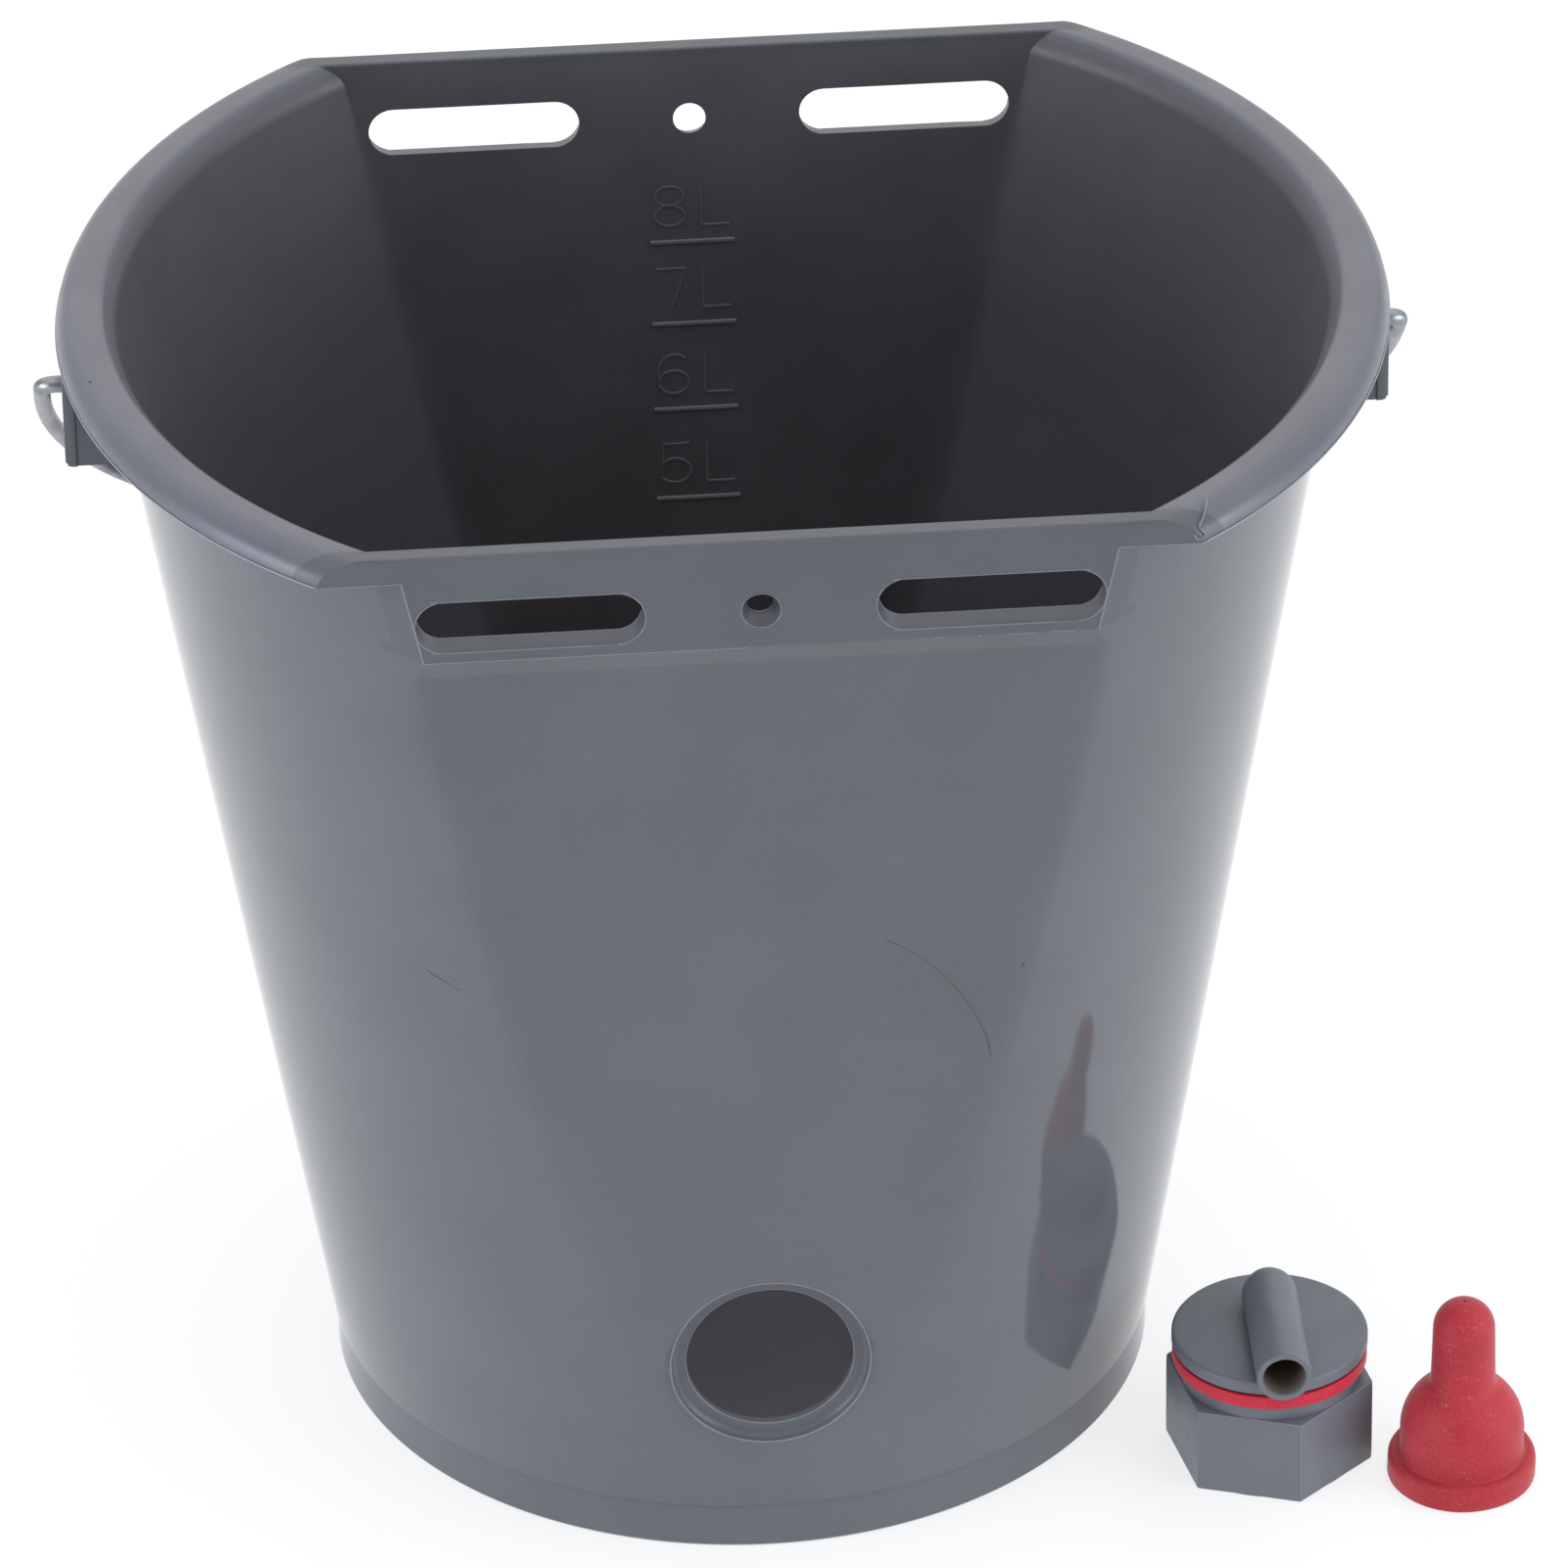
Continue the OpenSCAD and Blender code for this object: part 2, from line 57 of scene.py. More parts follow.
# The valve and the teat, also as in the CAD source
VALVE_X, VALVE_Y = 117.860, -66.682
TEAT_X, TEAT_Y = 161.102, -81.403
NUT_AF, NUT_H, NUT_TURN, COLLAR_R, NUT_TOP = 42.4, 21.7, -18.7, 20.9, 25.6
BORE_R, SHOULDER_Z, MOUTH_R = 18.6, 4.0, 15.1
DISC_Z, DISC_TOP, DISC_R, DISC_EDGE = 29.8, 33.0, 22.7, .8
SHANK_R, SHANK_IN_R, SHANK_Z, PITCH = 18.3, 15.1, 6.9, 3.0
CHAMBER_R, CHAMBER_IN_R, CHAMBER_Z, SEAT_R = 8.0, 6.0, 14.8, 3.8
PIPE_L, PIPE_Z, PIPE_END_Y, PIPE_ASIDE, PIPE_TURN = 33.8, 36.5, 8.3, .8, -.5
TEAT_H, TEAT_WALL, FLANGE_R, FLANGE_T, NECK_R, TIP_R = 47.6, 2.6, 17.2, 6.4, 7.5, 7.15

# Sizes that the photograph sets a little apart from the CAD source
EDGE_R, FACE_MOST = .6, 114.8
EAR_Z, EAR_OUT, EAR_IN = 249.2, 148.8, 146.5
SEAL_R, SEAL_TOP = 22.55, 29.0
PIPE_R, PIPE_IN_R = 6.4, 4.85
BODY_R, DOME_Z, NECK_CORNER = 14.35, 12.8, 3.4

# Middle holes: radius in the front one's web of flash, then radius and drop of each outer edge
FLASH_R = 2.95
SINKS = {-1: (4.4, 0.0), 1: (4.9, .9)}

# Softness where flat and round wall meet, outside, inside and at the floor, and its fading upwards
SOFT, INNER_SOFT, CORNER_SOFT = 3.0, 1.6, 1.0
SOFT_OVER, SOFT_RUN, SOFT_LEAST = 2.0, 10.0, .12
INNER_RUN, INNER_LEAST = 24.0, .1

# Flare inside the rim: start, its edge's rounding with middle and end, and the bend onto the wall
FLARE_Z, FLARE_EDGE, FLARE_R, FLARE_END = 276.0, 2.5, 140.4, 143
BEND_SHARE, BEND_DROP = .3, 2

WALL_SLOPE = (WALL_TOP_R - WALL_BASE_R) / HEIGHT
WALL_RUN = hypot(1, WALL_SLOPE)
FLAT_SLOPE = (FLAT_TOP_Y - FLAT_BASE_Y) / HEIGHT
FLAT_RUN = hypot(1, FLAT_SLOPE)
FLAT_TILT = atan(FLAT_SLOPE)
LIP_Z = HEIGHT - LIP_H
UNDER_Z = FLOOR_Z - FLOOR_T
BAND_Z = HEIGHT - BAND_H
STEP_Z = BAND_Z - BAND_STEP
EDGE_Z = HEIGHT - EDGE_R
SLOT_HALF = (SLOT_L - SLOT_H) / 2
NO_FLAT = 1000.0


def wall_r(z):
    return WALL_BASE_R + WALL_SLOPE * z


def inner_r(z):
    return wall_r(z) - WALL * WALL_RUN


def flat_y(z):
    return FLAT_BASE_Y + FLAT_SLOPE * z


def inner_y(z):
    return flat_y(z) - WALL * FLAT_RUN


def band_y(z):
    return flat_y(z) + BAND_PROUD * FLAT_RUN


def edge_reach(z):
    return sqrt(max(0.0, EDGE_R ** 2 - (z - EDGE_Z) ** 2))


def band_outline(z):
    """Distance of the band's outer face from the middle, with its rounded top edge."""
    if z <= EDGE_Z:
        return min(band_y(z), FACE_MOST)
    return FACE_MOST - EDGE_R + edge_reach(z)


def inner_outline(z):
    """The same for the inner flat face."""
    if z <= EDGE_Z:
        return inner_y(z)
    return inner_y(EDGE_Z) + EDGE_R * FLAT_RUN - edge_reach(z)


def soft_min(a, b, k):
    if k <= 0:
        return min(a, b)
    h = max(k - abs(a - b), 0.0) / k
    return min(a, b) - h * h * k / 4


def meeting_angle(y, r):
    """Angle from the Y axis at which the plane at distance y meets the circle of radius r."""
    return acos(min(1.0, y / r))


def levels(start, end, step):
    count = max(1, round(abs(end - start) / step))
    return [start + (end - start) * i / count for i in range(count + 1)]


def turns(count):
    return [2 * pi * i / count for i in range(count)]


def clamp(x, low=0.0, high=1.0):
    return max(low, min(high, x))


def bow(cx, cy, rx, ry, start, end, steps=20):
    """Points round an ellipse from one angle to another, in degrees."""
    angles = [radians(start + (end - start) * i / steps) for i in range(steps + 1)]
    return [(cx + rx * cos(a), cy + ry * sin(a)) for a in angles]


def arc(cx, cz, r, start, end, steps):
    return bow(cx, cz, r, r, start, end, steps)


# Columns of the bucket's grid over a quarter turn: across the half flat, then round the side
FLAT_COLUMNS = [0, .08, .16, .24, .32, .4, .48, .56, .64, .71, .77, .82, .86, .895, .925, .95,
                .97, .985, .995, 1]
ROUND_COLUMNS = [0, .004, .01, .02, .034, .052, .075, .102, .134, .17]
ROUND_COLUMNS += [.17 + .83 * i / 30 for i in range(1, 31)]

# How the columns at the flat's edge fan out low on the wall: angle, start and run
FAN, FAN_Z, FAN_RUN = radians(12), 236, 60

# Levels of the grid on the wall
GRID_STEP = 6.5
OUTER_FROM, OUTER_COUNT = 20, 35
INNER_FROM, INNER_COUNT = 242, 33
BAND_LEVELS = [256, 260, 264, 268, 271]
INNER_LEVELS = [271, 266, 260, 254, 248]

# Fine edges of underside, foot and step, as run and rise
UNDER_RINGS, UNDER_EASE = (0, 30, 60), (1, .8)
FOOT_IN_EASE, FOOT_OUT_EASE = (.5, .6), (.6, .7)
FOOT_LEDGE = ((0, .4), (.15, .1))
STEP_RISE, STEP_OUT, STEP_SOFT = .6, .2, .4

# Hollow under the rim: ease, angles of its rounding, and columns that close its ends
HOLLOW_EASE, HOLLOW_TURN, SHUT_COLUMNS = 1, (70, 50, 30, 12, 0), 4
# The rim's lower edge as distance in and height, and the spacing of the straight part's rows
RIM_EDGE = ((LIP_T - .5, -.05), (.5, 0), (.12, .2))
RIM_STEPS, FLAT_LIFT, OUTER_POWER, FLARE_POWER = 12, .3, .8, 1.6


def wall_row(z, r, y, k):
    """One level of the wall over a quarter turn, soft where flat and round meet."""
    edge = hypot(meeting_angle(y, r), FAN * clamp((FAN_Z - z) / FAN_RUN))
    angles = [edge * share for share in FLAT_COLUMNS]
    angles += [edge + (pi / 2 - edge) * share for share in ROUND_COLUMNS]
    points = []
    for a in angles:
        c = cos(a)
        reach = soft_min(r, y / c if c > TINY else NO_FLAT, k)
        points.append((reach * sin(a), reach * c, z))
    return points


def rim_row(flat, flat_reach, rounds):
    """One ring of the rim: the band's straight part at flat = (y, z) out to flat_reach, then the
    round part. rounds is (radius, z, y of the end plane), or gives it for a column number."""
    points = [(flat_reach * share, *flat) for share in FLAT_COLUMNS]
    for i, share in enumerate(ROUND_COLUMNS):
        r, z, end_y = rounds(i) if callable(rounds) else rounds
        start = meeting_angle(end_y, r)
        a = start + (pi / 2 - start) * share
        points.append((r * sin(a), r * cos(a), z))
    return points


def cone_reach(z):
    """Half width of the band's outer face, to where it meets the round wall."""
    return sqrt(wall_r(min(z, LIP_Z)) ** 2 - band_outline(min(z, LIP_Z)) ** 2)


def foot_rows():
    under_r, foot_in = inner_r(UNDER_Z), FOOT_R - WALL
    profile = [(r, UNDER_Z) for r in UNDER_RINGS]
    profile += [(under_r - UNDER_EASE[0], UNDER_Z), (under_r, UNDER_Z - UNDER_EASE[1])]
    profile += [(foot_in, FOOT_H), (foot_in, FOOT_IN_EASE[1]), (foot_in + FOOT_IN_EASE[0], 0)]
    profile += [(FOOT_R - FOOT_OUT_EASE[0], 0), (FOOT_R, FOOT_OUT_EASE[1])]
    profile += [(FOOT_R + out, FOOT_H - below) for out, below in FOOT_LEDGE]
    return [wall_row(z, max(r, 1e-4), NO_FLAT, 0) for r, z in profile]


def outer_rows():
    heights = [OUTER_FROM + GRID_STEP * i for i in range(OUTER_COUNT)]
    rows = []
    for z in [FOOT_H, FOOT_H + .6, FOOT_H + 4] + heights + [STEP_Z - 2.4, STEP_Z - 1]:
        soft = SOFT * clamp((STEP_Z + SOFT_OVER - z) / SOFT_RUN, SOFT_LEAST, 1)
        rows.append(wall_row(z, wall_r(z), flat_y(z), soft))
    z = STEP_Z + STEP_RISE
    rows.append(wall_row(z, wall_r(z), flat_y(STEP_Z) + STEP_OUT, STEP_SOFT))
    for z in [BAND_Z - .5, BAND_Z, BAND_Z + .6] + BAND_LEVELS + [LIP_Z]:
        y = band_y(z)
        if z < BAND_Z:
            y -= BAND_PROUD * (BAND_Z - z) / BAND_STEP
        rows.append(wall_row(z, wall_r(z), y, 0))
    return rows


def hollow_rows():
    arc_r, hollow = RIM_R - LIP_H, LIP_H - LIP_T
    top = LIP_Z + hollow
    profile = [(wall_r(top - HOLLOW_EASE), top - HOLLOW_EASE), (wall_r(top) + HOLLOW_EASE, top)]
    profile += [(arc_r, top)]
    for turn in HOLLOW_TURN:
        a = radians(turn)
        profile.append((arc_r + hollow * cos(a), LIP_Z + hollow * sin(a)))
    shut_from, shut_to = wall_r(LIP_Z), RIM_R - LIP_T
    rows = []
    for n, point in enumerate(profile, 1):
        share = n / len(profile)
        shut = (shut_from + (shut_to - shut_from) * share, LIP_Z)
        flat_z = LIP_Z + FLAT_LIFT * share

        def rounds(i, point=point, shut=shut):
            return (*(shut if i < SHUT_COLUMNS else point), band_outline(LIP_Z))
        rows.append(rim_row((band_outline(flat_z), flat_z), cone_reach(flat_z), rounds))
    return rows


def rim_rows():
    profile = [(RIM_R - by, LIP_Z + z) for by, z in RIM_EDGE]
    profile += arc(RIM_R - LIP_H, LIP_Z, LIP_H, 0, 90, RIM_STEPS)[1:]
    rows = []
    for n, (r, z) in enumerate(profile, 1):
        share = (n / len(profile)) ** OUTER_POWER
        flat_z = LIP_Z + FLAT_LIFT + (HEIGHT - LIP_Z - FLAT_LIFT) * share
        end_y = band_outline(max(z, LIP_Z))
        rows.append(rim_row((band_outline(flat_z), flat_z), cone_reach(flat_z), (r, z, end_y)))
    return rows


def flare_rows():
    """The rim's top and the flare inside it, bent smoothly onto the straight wall."""
    profile = [(inner_r(LIP_Z) + LIP_H, HEIGHT)]
    profile += arc(FLARE_R, HEIGHT - FLARE_EDGE, FLARE_EDGE, 90, FLARE_END, 7)
    bend = Vector((inner_r(FLARE_Z), FLARE_Z))
    above = Vector(profile[-1]).lerp(bend, BEND_SHARE)
    below = Vector((inner_r(FLARE_Z - BEND_DROP), FLARE_Z - BEND_DROP))
    for t in (0, .2, .4, .6, .8, 1):
        profile.append(tuple(above.lerp(bend, t).lerp(bend.lerp(below, t), t)))
    profile.append((inner_r(LIP_Z), LIP_Z))
    rows = []
    for n, (r, z) in enumerate(profile):
        flat_z = HEIGHT - (HEIGHT - LIP_Z) * (n / (len(profile) - 1)) ** FLARE_POWER
        end_y = inner_outline(z)
        reach = sqrt(r * r - end_y ** 2)
        rows.append(rim_row((inner_outline(flat_z), flat_z), reach, (r, z, end_y)))
    return rows


def inner_rows():
    corner_z = FLOOR_Z + CORNER_R
    corner_r = inner_r(corner_z) - CORNER_R * WALL_RUN
    rows = []
    for z in INNER_LEVELS + [INNER_FROM - GRID_STEP * i for i in range(INNER_COUNT)]:
        soft = INNER_SOFT * clamp((LIP_Z - z) / INNER_RUN, INNER_LEAST, 1)
        rows.append(wall_row(z, inner_r(z), inner_y(z), soft))
    for r, z in arc(corner_r, corner_z, CORNER_R, 0, -90, 8):
        rows.append(wall_row(z, r, inner_y(z), CORNER_SOFT))
    for share in (.8, .5, .2, TINY):
        rows.append(wall_row(FLOOR_Z, corner_r * share, NO_FLAT, 0))
    return rows


def new_object(name, data):
    obj = bpy.data.objects.new(name, data)
    scene.collection.objects.link(obj)
    return obj


def mesh_object(name, bm, least=0.0):
    """A new mesh, its faces turned outwards, without points closer than least."""
    if least:
        bmesh.ops.remove_doubles(bm, verts=bm.verts, dist=least)
        bmesh.ops.dissolve_degenerate(bm, edges=bm.edges, dist=least)
    bmesh.ops.recalc_face_normals(bm, faces=bm.faces)
    mesh = bpy.data.meshes.new(name)
    bm.to_mesh(mesh)
    bm.free()
    return new_object(name, mesh)


def loft(bm, rings, capped=True):
    """Faces between closed rings in turn, and over the two ends."""
    for low, high in zip(rings, rings[1:]):
        for i in range(len(low)):
            j = (i + 1) % len(low)
            bm.faces.new((low[i], low[j], high[j], high[i]))
    if capped:
        bm.faces.new(rings[0][::-1])
        bm.faces.new(rings[-1])


def bucket_shell():
    """The whole bucket wall as one closed grid, a quarter mirrored to four."""
    rows = foot_rows() + outer_rows() + hollow_rows() + rim_rows() + flare_rows() + inner_rows()
    bm = bmesh.new()
    for sx, sy in ((1, 1), (-1, 1), (-1, -1), (1, -1)):
        grid = [[bm.verts.new((x * sx * MM, y * sy * MM, z * MM)) for x, y, z in row] for row in rows]
        for low, high in zip(grid, grid[1:]):
            for i in range(len(low) - 1):
                quad = [low[i], low[i + 1], high[i + 1], high[i]]
                bm.faces.new(quad if sx * sy < 0 else quad[::-1])
    return mesh_object("bucket_shell", bm, 1e-6)


def revolved(name, profile, segments, closed=True):
    """A solid of revolution. Rows are (radius, z), or give it for an angle. segments is a count or
    a list of angles. If closed, the first and last rows lie on the axis."""
    if isinstance(segments, int):
        segments = turns(segments)
    bm = bmesh.new()
    rings = []
    for row in profile:
        ring = []
        for a in segments:
            r, z = row(a) if callable(row) else row
            ring.append(bm.verts.new((r * cos(a) * MM, r * sin(a) * MM, z * MM)))
        rings.append(ring)
    loft(bm, rings if closed else rings + rings[:1], capped=False)
    return mesh_object(name, bm, 1e-7)


def stadium(half_span, r):
    return [(half_span + x, z) for x, z in arc(0, 0, r, -90, 90, 16)] + [
        (-half_span + x, z) for x, z in arc(0, 0, r, 90, 270, 16)]


def lofted(name, sections):
    """A closed solid through sections of equal point counts."""
    bm = bmesh.new()
    rings = [[bm.verts.new((x * MM, y * MM, z * MM)) for x, y, z in s] for s in sections]
    loft(bm, rings)
    return mesh_object(name, bm)


def cut(obj, tool, operation="DIFFERENCE"):
    """Applies one boolean and removes its tool."""
    modifier = obj.modifiers.new("cut", "BOOLEAN")
    modifier.operation = operation
    modifier.object = tool
    modifier.solver = "EXACT"
    bpy.context.view_layer.objects.active = obj
    bpy.ops.object.modifier_apply(modifier=modifier.name)
    mesh = tool.data
    bpy.data.objects.remove(tool)
    bpy.data.meshes.remove(mesh)


def shade(obj, angle=32):
    for polygon in obj.data.polygons:
        polygon.use_smooth = True
    obj.data.set_sharp_from_angle(angle=radians(angle))
    return obj


def moved(obj, x, y, z=0.0, turn=Matrix()):
    obj.data.transform(Matrix.Translation((x * MM, y * MM, z * MM)) @ turn)
    return obj


# A slot's cutter from inside out: place over the band's face, growth, and fall of its lower edge
SLOT_SECTIONS = ((-9, -.25, 0), (-4.9, -.25, 0), (-4.4, -.4, 0), (-1.6, -.1, .45), (-.4, .02, .6),
                 (-.12, .12, .62), (.1, .32, .62), (4, .6, .62))
# Ends of the middle hole's cutter, and how far out its fall goes on
HOLE_FROM, HOLE_TO, FALL_MOST = 100, 120, 1.1


def slot_tool(side_x, side_y):
    sections = []
    for out, grow, fall in SLOT_SECTIONS:
        r = SLOT_H / 2 + grow
        section = []
        for x, z in stadium(SLOT_HALF, r):
            level = HANG_Z + z - fall * (1 - z / r) / 2
            section.append((side_x * SLOT_X + x, side_y * (band_y(level) + out), level))
        sections.append(section)
    return lofted("slot_tool", sections)


def hole_tool(side_y):
    """The middle hole's cutter: leaves a web of flash in front, and falls outwards at the back."""
    face, back = band_y(HANG_Z), inner_y(HANG_Z)
    sink, drop = SINKS[side_y]
    if side_y < 0:
        profile = [(FLASH_R, HOLE_FROM), (FLASH_R, back + .4), (FLASH_R + .2, back + .6),
                   (HOLE_R + .35, face - .6)]
    else:
        profile = [(HOLE_R + .1, HOLE_FROM), (HOLE_R + .1, back), (HOLE_R + .3, back + .5)]
    profile += [(sink, face - .05), (sink + .3, face + .3), (sink + .3, HOLE_TO)]
    tool = revolved("hole_tool", [(0, HOLE_FROM)] + profile + [(0, HOLE_TO)], 48)
    moved(tool, 0, 0, HANG_Z, Matrix.Rotation(radians(-90 * side_y), 4, "X"))
    for vertex in tool.data.vertices:
        out = (abs(vertex.co.y) / MM - back) / (face - back)
        vertex.co.z -= drop * MM * clamp(out, 0, FALL_MOST)
    return tool


def port_tool(name, profile, segments):
    """A solid of revolution that points out of the teat port."""
    turn = Matrix.Rotation(radians(90) + FLAT_TILT, 4, "X")
    return moved(revolved(name, profile, segments), 0, -flat_y(PORT_Z), PORT_Z, turn)


# The port: rounding and outer end of its pad, rounding and outer edge of its recess
PAD_EASE, PAD_END, RECESS_CORNER, RECESS_EDGE, RECESS_EASE = 1, 1.2, 1.7, .25, .3
# Ends of the cutters of recess and hole, outside and inside
RECESS_TO, HOLE_BACK, HOLE_FRONT = 6, 12, 4


def build_bucket():
    shell = bucket_shell()
    depth = RECESS_DEPTH + RING_T
    pad_r = RECESS_R + WALL
    pad = [(0, -depth), (pad_r - PAD_EASE, -depth)]
    pad += arc(pad_r - PAD_EASE, -depth + PAD_EASE, PAD_EASE, -90, 0, 5)
    pad += [(pad_r, -PAD_END), (0, -PAD_END)]
    cut(shell, port_tool("pad", pad, 96), "UNION")
    recess = [(0, -RECESS_DEPTH)]
    recess += arc(RECESS_R - RECESS_CORNER, RECESS_CORNER - RECESS_DEPTH, RECESS_CORNER, -90, 0, 6)
    recess += [(RECESS_R, -RECESS_EDGE)]
    recess += arc(RECESS_R + RECESS_EASE, -RECESS_EDGE, RECESS_EASE, 180, 120, 4)[1:]
    recess += [(RECESS_R + 2 * RECESS_EASE, RECESS_TO), (0, RECESS_TO)]
    cut(shell, port_tool("recess", recess, 128))
    hole = [(0, -HOLE_BACK), (PORT_R + .5, -HOLE_BACK), (PORT_R + .5, -depth + .1),
            (PORT_R, -depth + .6), (PORT_R, -RECESS_DEPTH - .3), (PORT_R + .3, -RECESS_DEPTH + .05),
            (PORT_R + .3, HOLE_FRONT), (0, HOLE_FRONT)]
    cut(shell, port_tool("hole", hole, 128))
    for side_y in (1, -1):
        cut(shell, hole_tool(side_y))
        for side_x in (1, -1):
            cut(shell, slot_tool(side_x, side_y))
    shade(shell, 14)
    for face in shell.data.polygons:
        face.material_index = finish_of(face)
    return shell


# Finishes of the bucket, in the order of its materials; the port has the bands' finish. The inside's
# finish holds painted shade and the rim's painted light.
OUTSIDE, INSIDE, BOTTOM, BANDS, RIM = range(5)
# Share by which an inside face looks inwards, and where the inside starts below the top
INWARD, INSIDE_DROP = .2, 1.8


def finish_of(face):
    x, y, z = face.center / MM
    out = hypot(x, y)
    inward = face.normal.x * x + face.normal.y * y < -INWARD * out
    if FLOOR_Z - 1 < z < FLOOR_Z + CORNER_R and face.normal.z > .5 and out < wall_r(0):
        return BOTTOM
    if FLOOR_Z - 1 < z < HEIGHT - INSIDE_DROP and inward:
        return INSIDE
    in_port = y < 0 and hypot(x, z - PORT_Z) < RECESS_R + .2 and -y < flat_y(z) - .15
    if in_port or (z > BAND_Z + .3 and abs(y) > inner_y(z) - .2):
        return BANDS
    return RIM if z > LIP_Z - .2 else OUTSIDE


def plate(name, outline, y_from, y_to, ease):
    """A plate across Y from an outline of (x, z), its two faces drawn in at the edges."""
    middle_x = sum(x for x, z in outline) / len(outline)
    middle_z = sum(z for x, z in outline) / len(outline)

    def toward(value, middle, by):
        return value - copysign(min(by, abs(value - middle)), value - middle)
    sections = []
    part = ease * .3
    for y, by in ((y_from, ease), (y_from + part, part), (y_from + ease, 0),
                  (y_to - ease, 0), (y_to - part, part), (y_to, ease)):
        sections.append([(toward(x, middle_x, by), y, toward(z, middle_z, by)) for x, z in outline])
    return lofted(name, sections)


# The ear: how far it is sunk in wall and rim, how far its sides stand in, and its eased edges
EAR_SUNK, EAR_TOP, EAR_SIDE_IN, EAR_EASE, EAR_SIDE_EASE = 1.6, LIP_Z + 1.5, .45, .35, .15
# Ends of the pivot hole's cutter
PIVOT_FROM, PIVOT_TO = 120, 160


def build_ear(side):
    """One ear: a box open below, with the bail's hole in its outer plate."""
    half, back, face = EAR_W / 2, EAR_IN - .4, EAR_OUT - .5
    outline = [(back, EAR_Z), (EAR_OUT - EAR_CHAMFER, EAR_Z), (EAR_OUT, EAR_Z + EAR_CHAMFER),
               (EAR_OUT, LIP_Z + .2), (EAR_OUT - 1.7, EAR_TOP), (back, EAR_TOP)]
    ear = plate("bucket_ear", outline, -half, half, EAR_EASE)
    outline = [(wall_r(EAR_Z) - EAR_SUNK, EAR_Z + .05), (face, EAR_Z + .05), (face, EAR_TOP),
               (wall_r(EAR_TOP) - EAR_SUNK, EAR_TOP)]
    for y in (-half + EAR_SIDE_IN, half - EAR_SIDE):
        cut(ear, plate("ear_side", outline, y, y + EAR_SIDE - EAR_SIDE_IN, EAR_SIDE_EASE), "UNION")
    wide = PIVOT_HOLE_R + .5
    profile = [(0, PIVOT_FROM), (PIVOT_HOLE_R, PIVOT_FROM), (PIVOT_HOLE_R, EAR_OUT - .3),
               (wide, EAR_OUT + .2), (wide, PIVOT_TO), (0, PIVOT_TO)]
    turn = Matrix.Rotation(radians(90), 4, "Y")
    cut(ear, moved(revolved("pivot_tool", profile, 40), 0, 0, PIVOT_Z, turn))
    if side < 0:
        ear.data.transform(Matrix.Diagonal((-1, 1, 1, 1)))
        ear.data.flip_normals()
    return shade(ear)


# Numerals as strokes in a unit box
GLYPHS = {
    "1": [[(.25, .8), (.55, 1), (.55, 0)]],
    "2": [bow(.5, .72, .48, .28, 165, -35) + [(.02, 0), (1, 0)]],
    "3": [bow(.45, .75, .45, .25, 150, -90) + bow(.45, .26, .52, .26, 90, -150)],
    "4": [[(.72, 0), (.72, 1), (0, .3), (1, .3)]],
    "5": [[(.95, 1), (.1, 1), (.07, .5)], bow(.47, .31, .52, .31, 142, -148)],
    "6": [bow(.53, .56, .52, .44, 48, 180) + [(.0, .3)], bow(.5, .29, .5, .29, 0, 360, 32)],
    "7": [[(0, 1), (1, 1)], [(1, 1), (.48, 0)]],
    "8": [bow(.5, .755, .47, .245, 0, 360, 32), bow(.5, .255, .5, .255, 0, 360, 32)],
    "L": [[(0, 1), (0, 0)], [(0, 0), (1, 0)]],
}
LITRE_HEIGHTS = (53.1, 83.7, 111.9, 138.3, 163.1, 186.6, 209.0, 230.3)
# Half length of a bar, places and sizes of the signs, then width and height of each ridge
BAR_HALF, SIGN_LIFT, SIGN_H = 9.9, 4.1, 10.2
NUMBER_PLACE, LITRE_PLACE = (-8.7, 7.1), (2.2, 6.6)
BAR_RIDGE, SIGN_RIDGE = (1.1, .5), (.7, .26)
# A ridge's cross-section: share of its width on top, and how far its foot is sunk
RIDGE_TOP, RIDGE_SUNK = .28, -.12


def set_finish(bm, first, finish):
    bm.faces.ensure_lookup_table()
    for face in bm.faces[first:]:
        face.material_index = finish


def ridge(bm, points, width, height, place, finish=0):
    """A low ridge along a line; place(u, v, lift) gives the point on the wall it stands on."""
    rows = []
    first = len(bm.faces)
    last = len(points) - 1
    section = ((-.5, RIDGE_SUNK), (-RIDGE_TOP, height), (RIDGE_TOP, height), (.5, RIDGE_SUNK))
    for i, (u, v) in enumerate(points):
        before, after = points[max(i - 1, 0)], points[min(i + 1, last)]
        if points[0] == points[-1] and i in (0, last):
            before, after = points[-2], points[1]
        du, dv = after[0] - before[0], after[1] - before[1]
        length = hypot(du, dv)
        nu, nv = -dv / length, du / length
        rows.append([bm.verts.new(place(u + nu * side * width, v + nv * side * width, lift))
                     for side, lift in section])
    for low, high in zip(rows, rows[1:]):
        for i in range(3):
            bm.faces.new((low[i], low[i + 1], high[i + 1], high[i]))
    bm.faces.new(rows[0])
    bm.faces.new(rows[-1])
    set_finish(bm, first, finish)


def build_marks():
    bm = bmesh.new()

    def on_back(u, v, lift):
        return (u * MM, (inner_y(v) - lift) * MM, (v + lift * FLAT_SLOPE) * MM)
    for count, level in enumerate(LITRE_HEIGHTS, 1):
        ridge(bm, [(-BAR_HALF, level), (BAR_HALF, level)], *BAR_RIDGE, on_back)
        for glyph, (left, width) in ((str(count), NUMBER_PLACE), ("L", LITRE_PLACE)):
            for stroke in GLYPHS[glyph]:
                line = [(left + width * x, level + SIGN_LIFT + SIGN_H * y) for x, y in stroke]
                ridge(bm, line, *SIGN_RIDGE, on_back, 1)
    return mesh_object("litre_marks", bm)


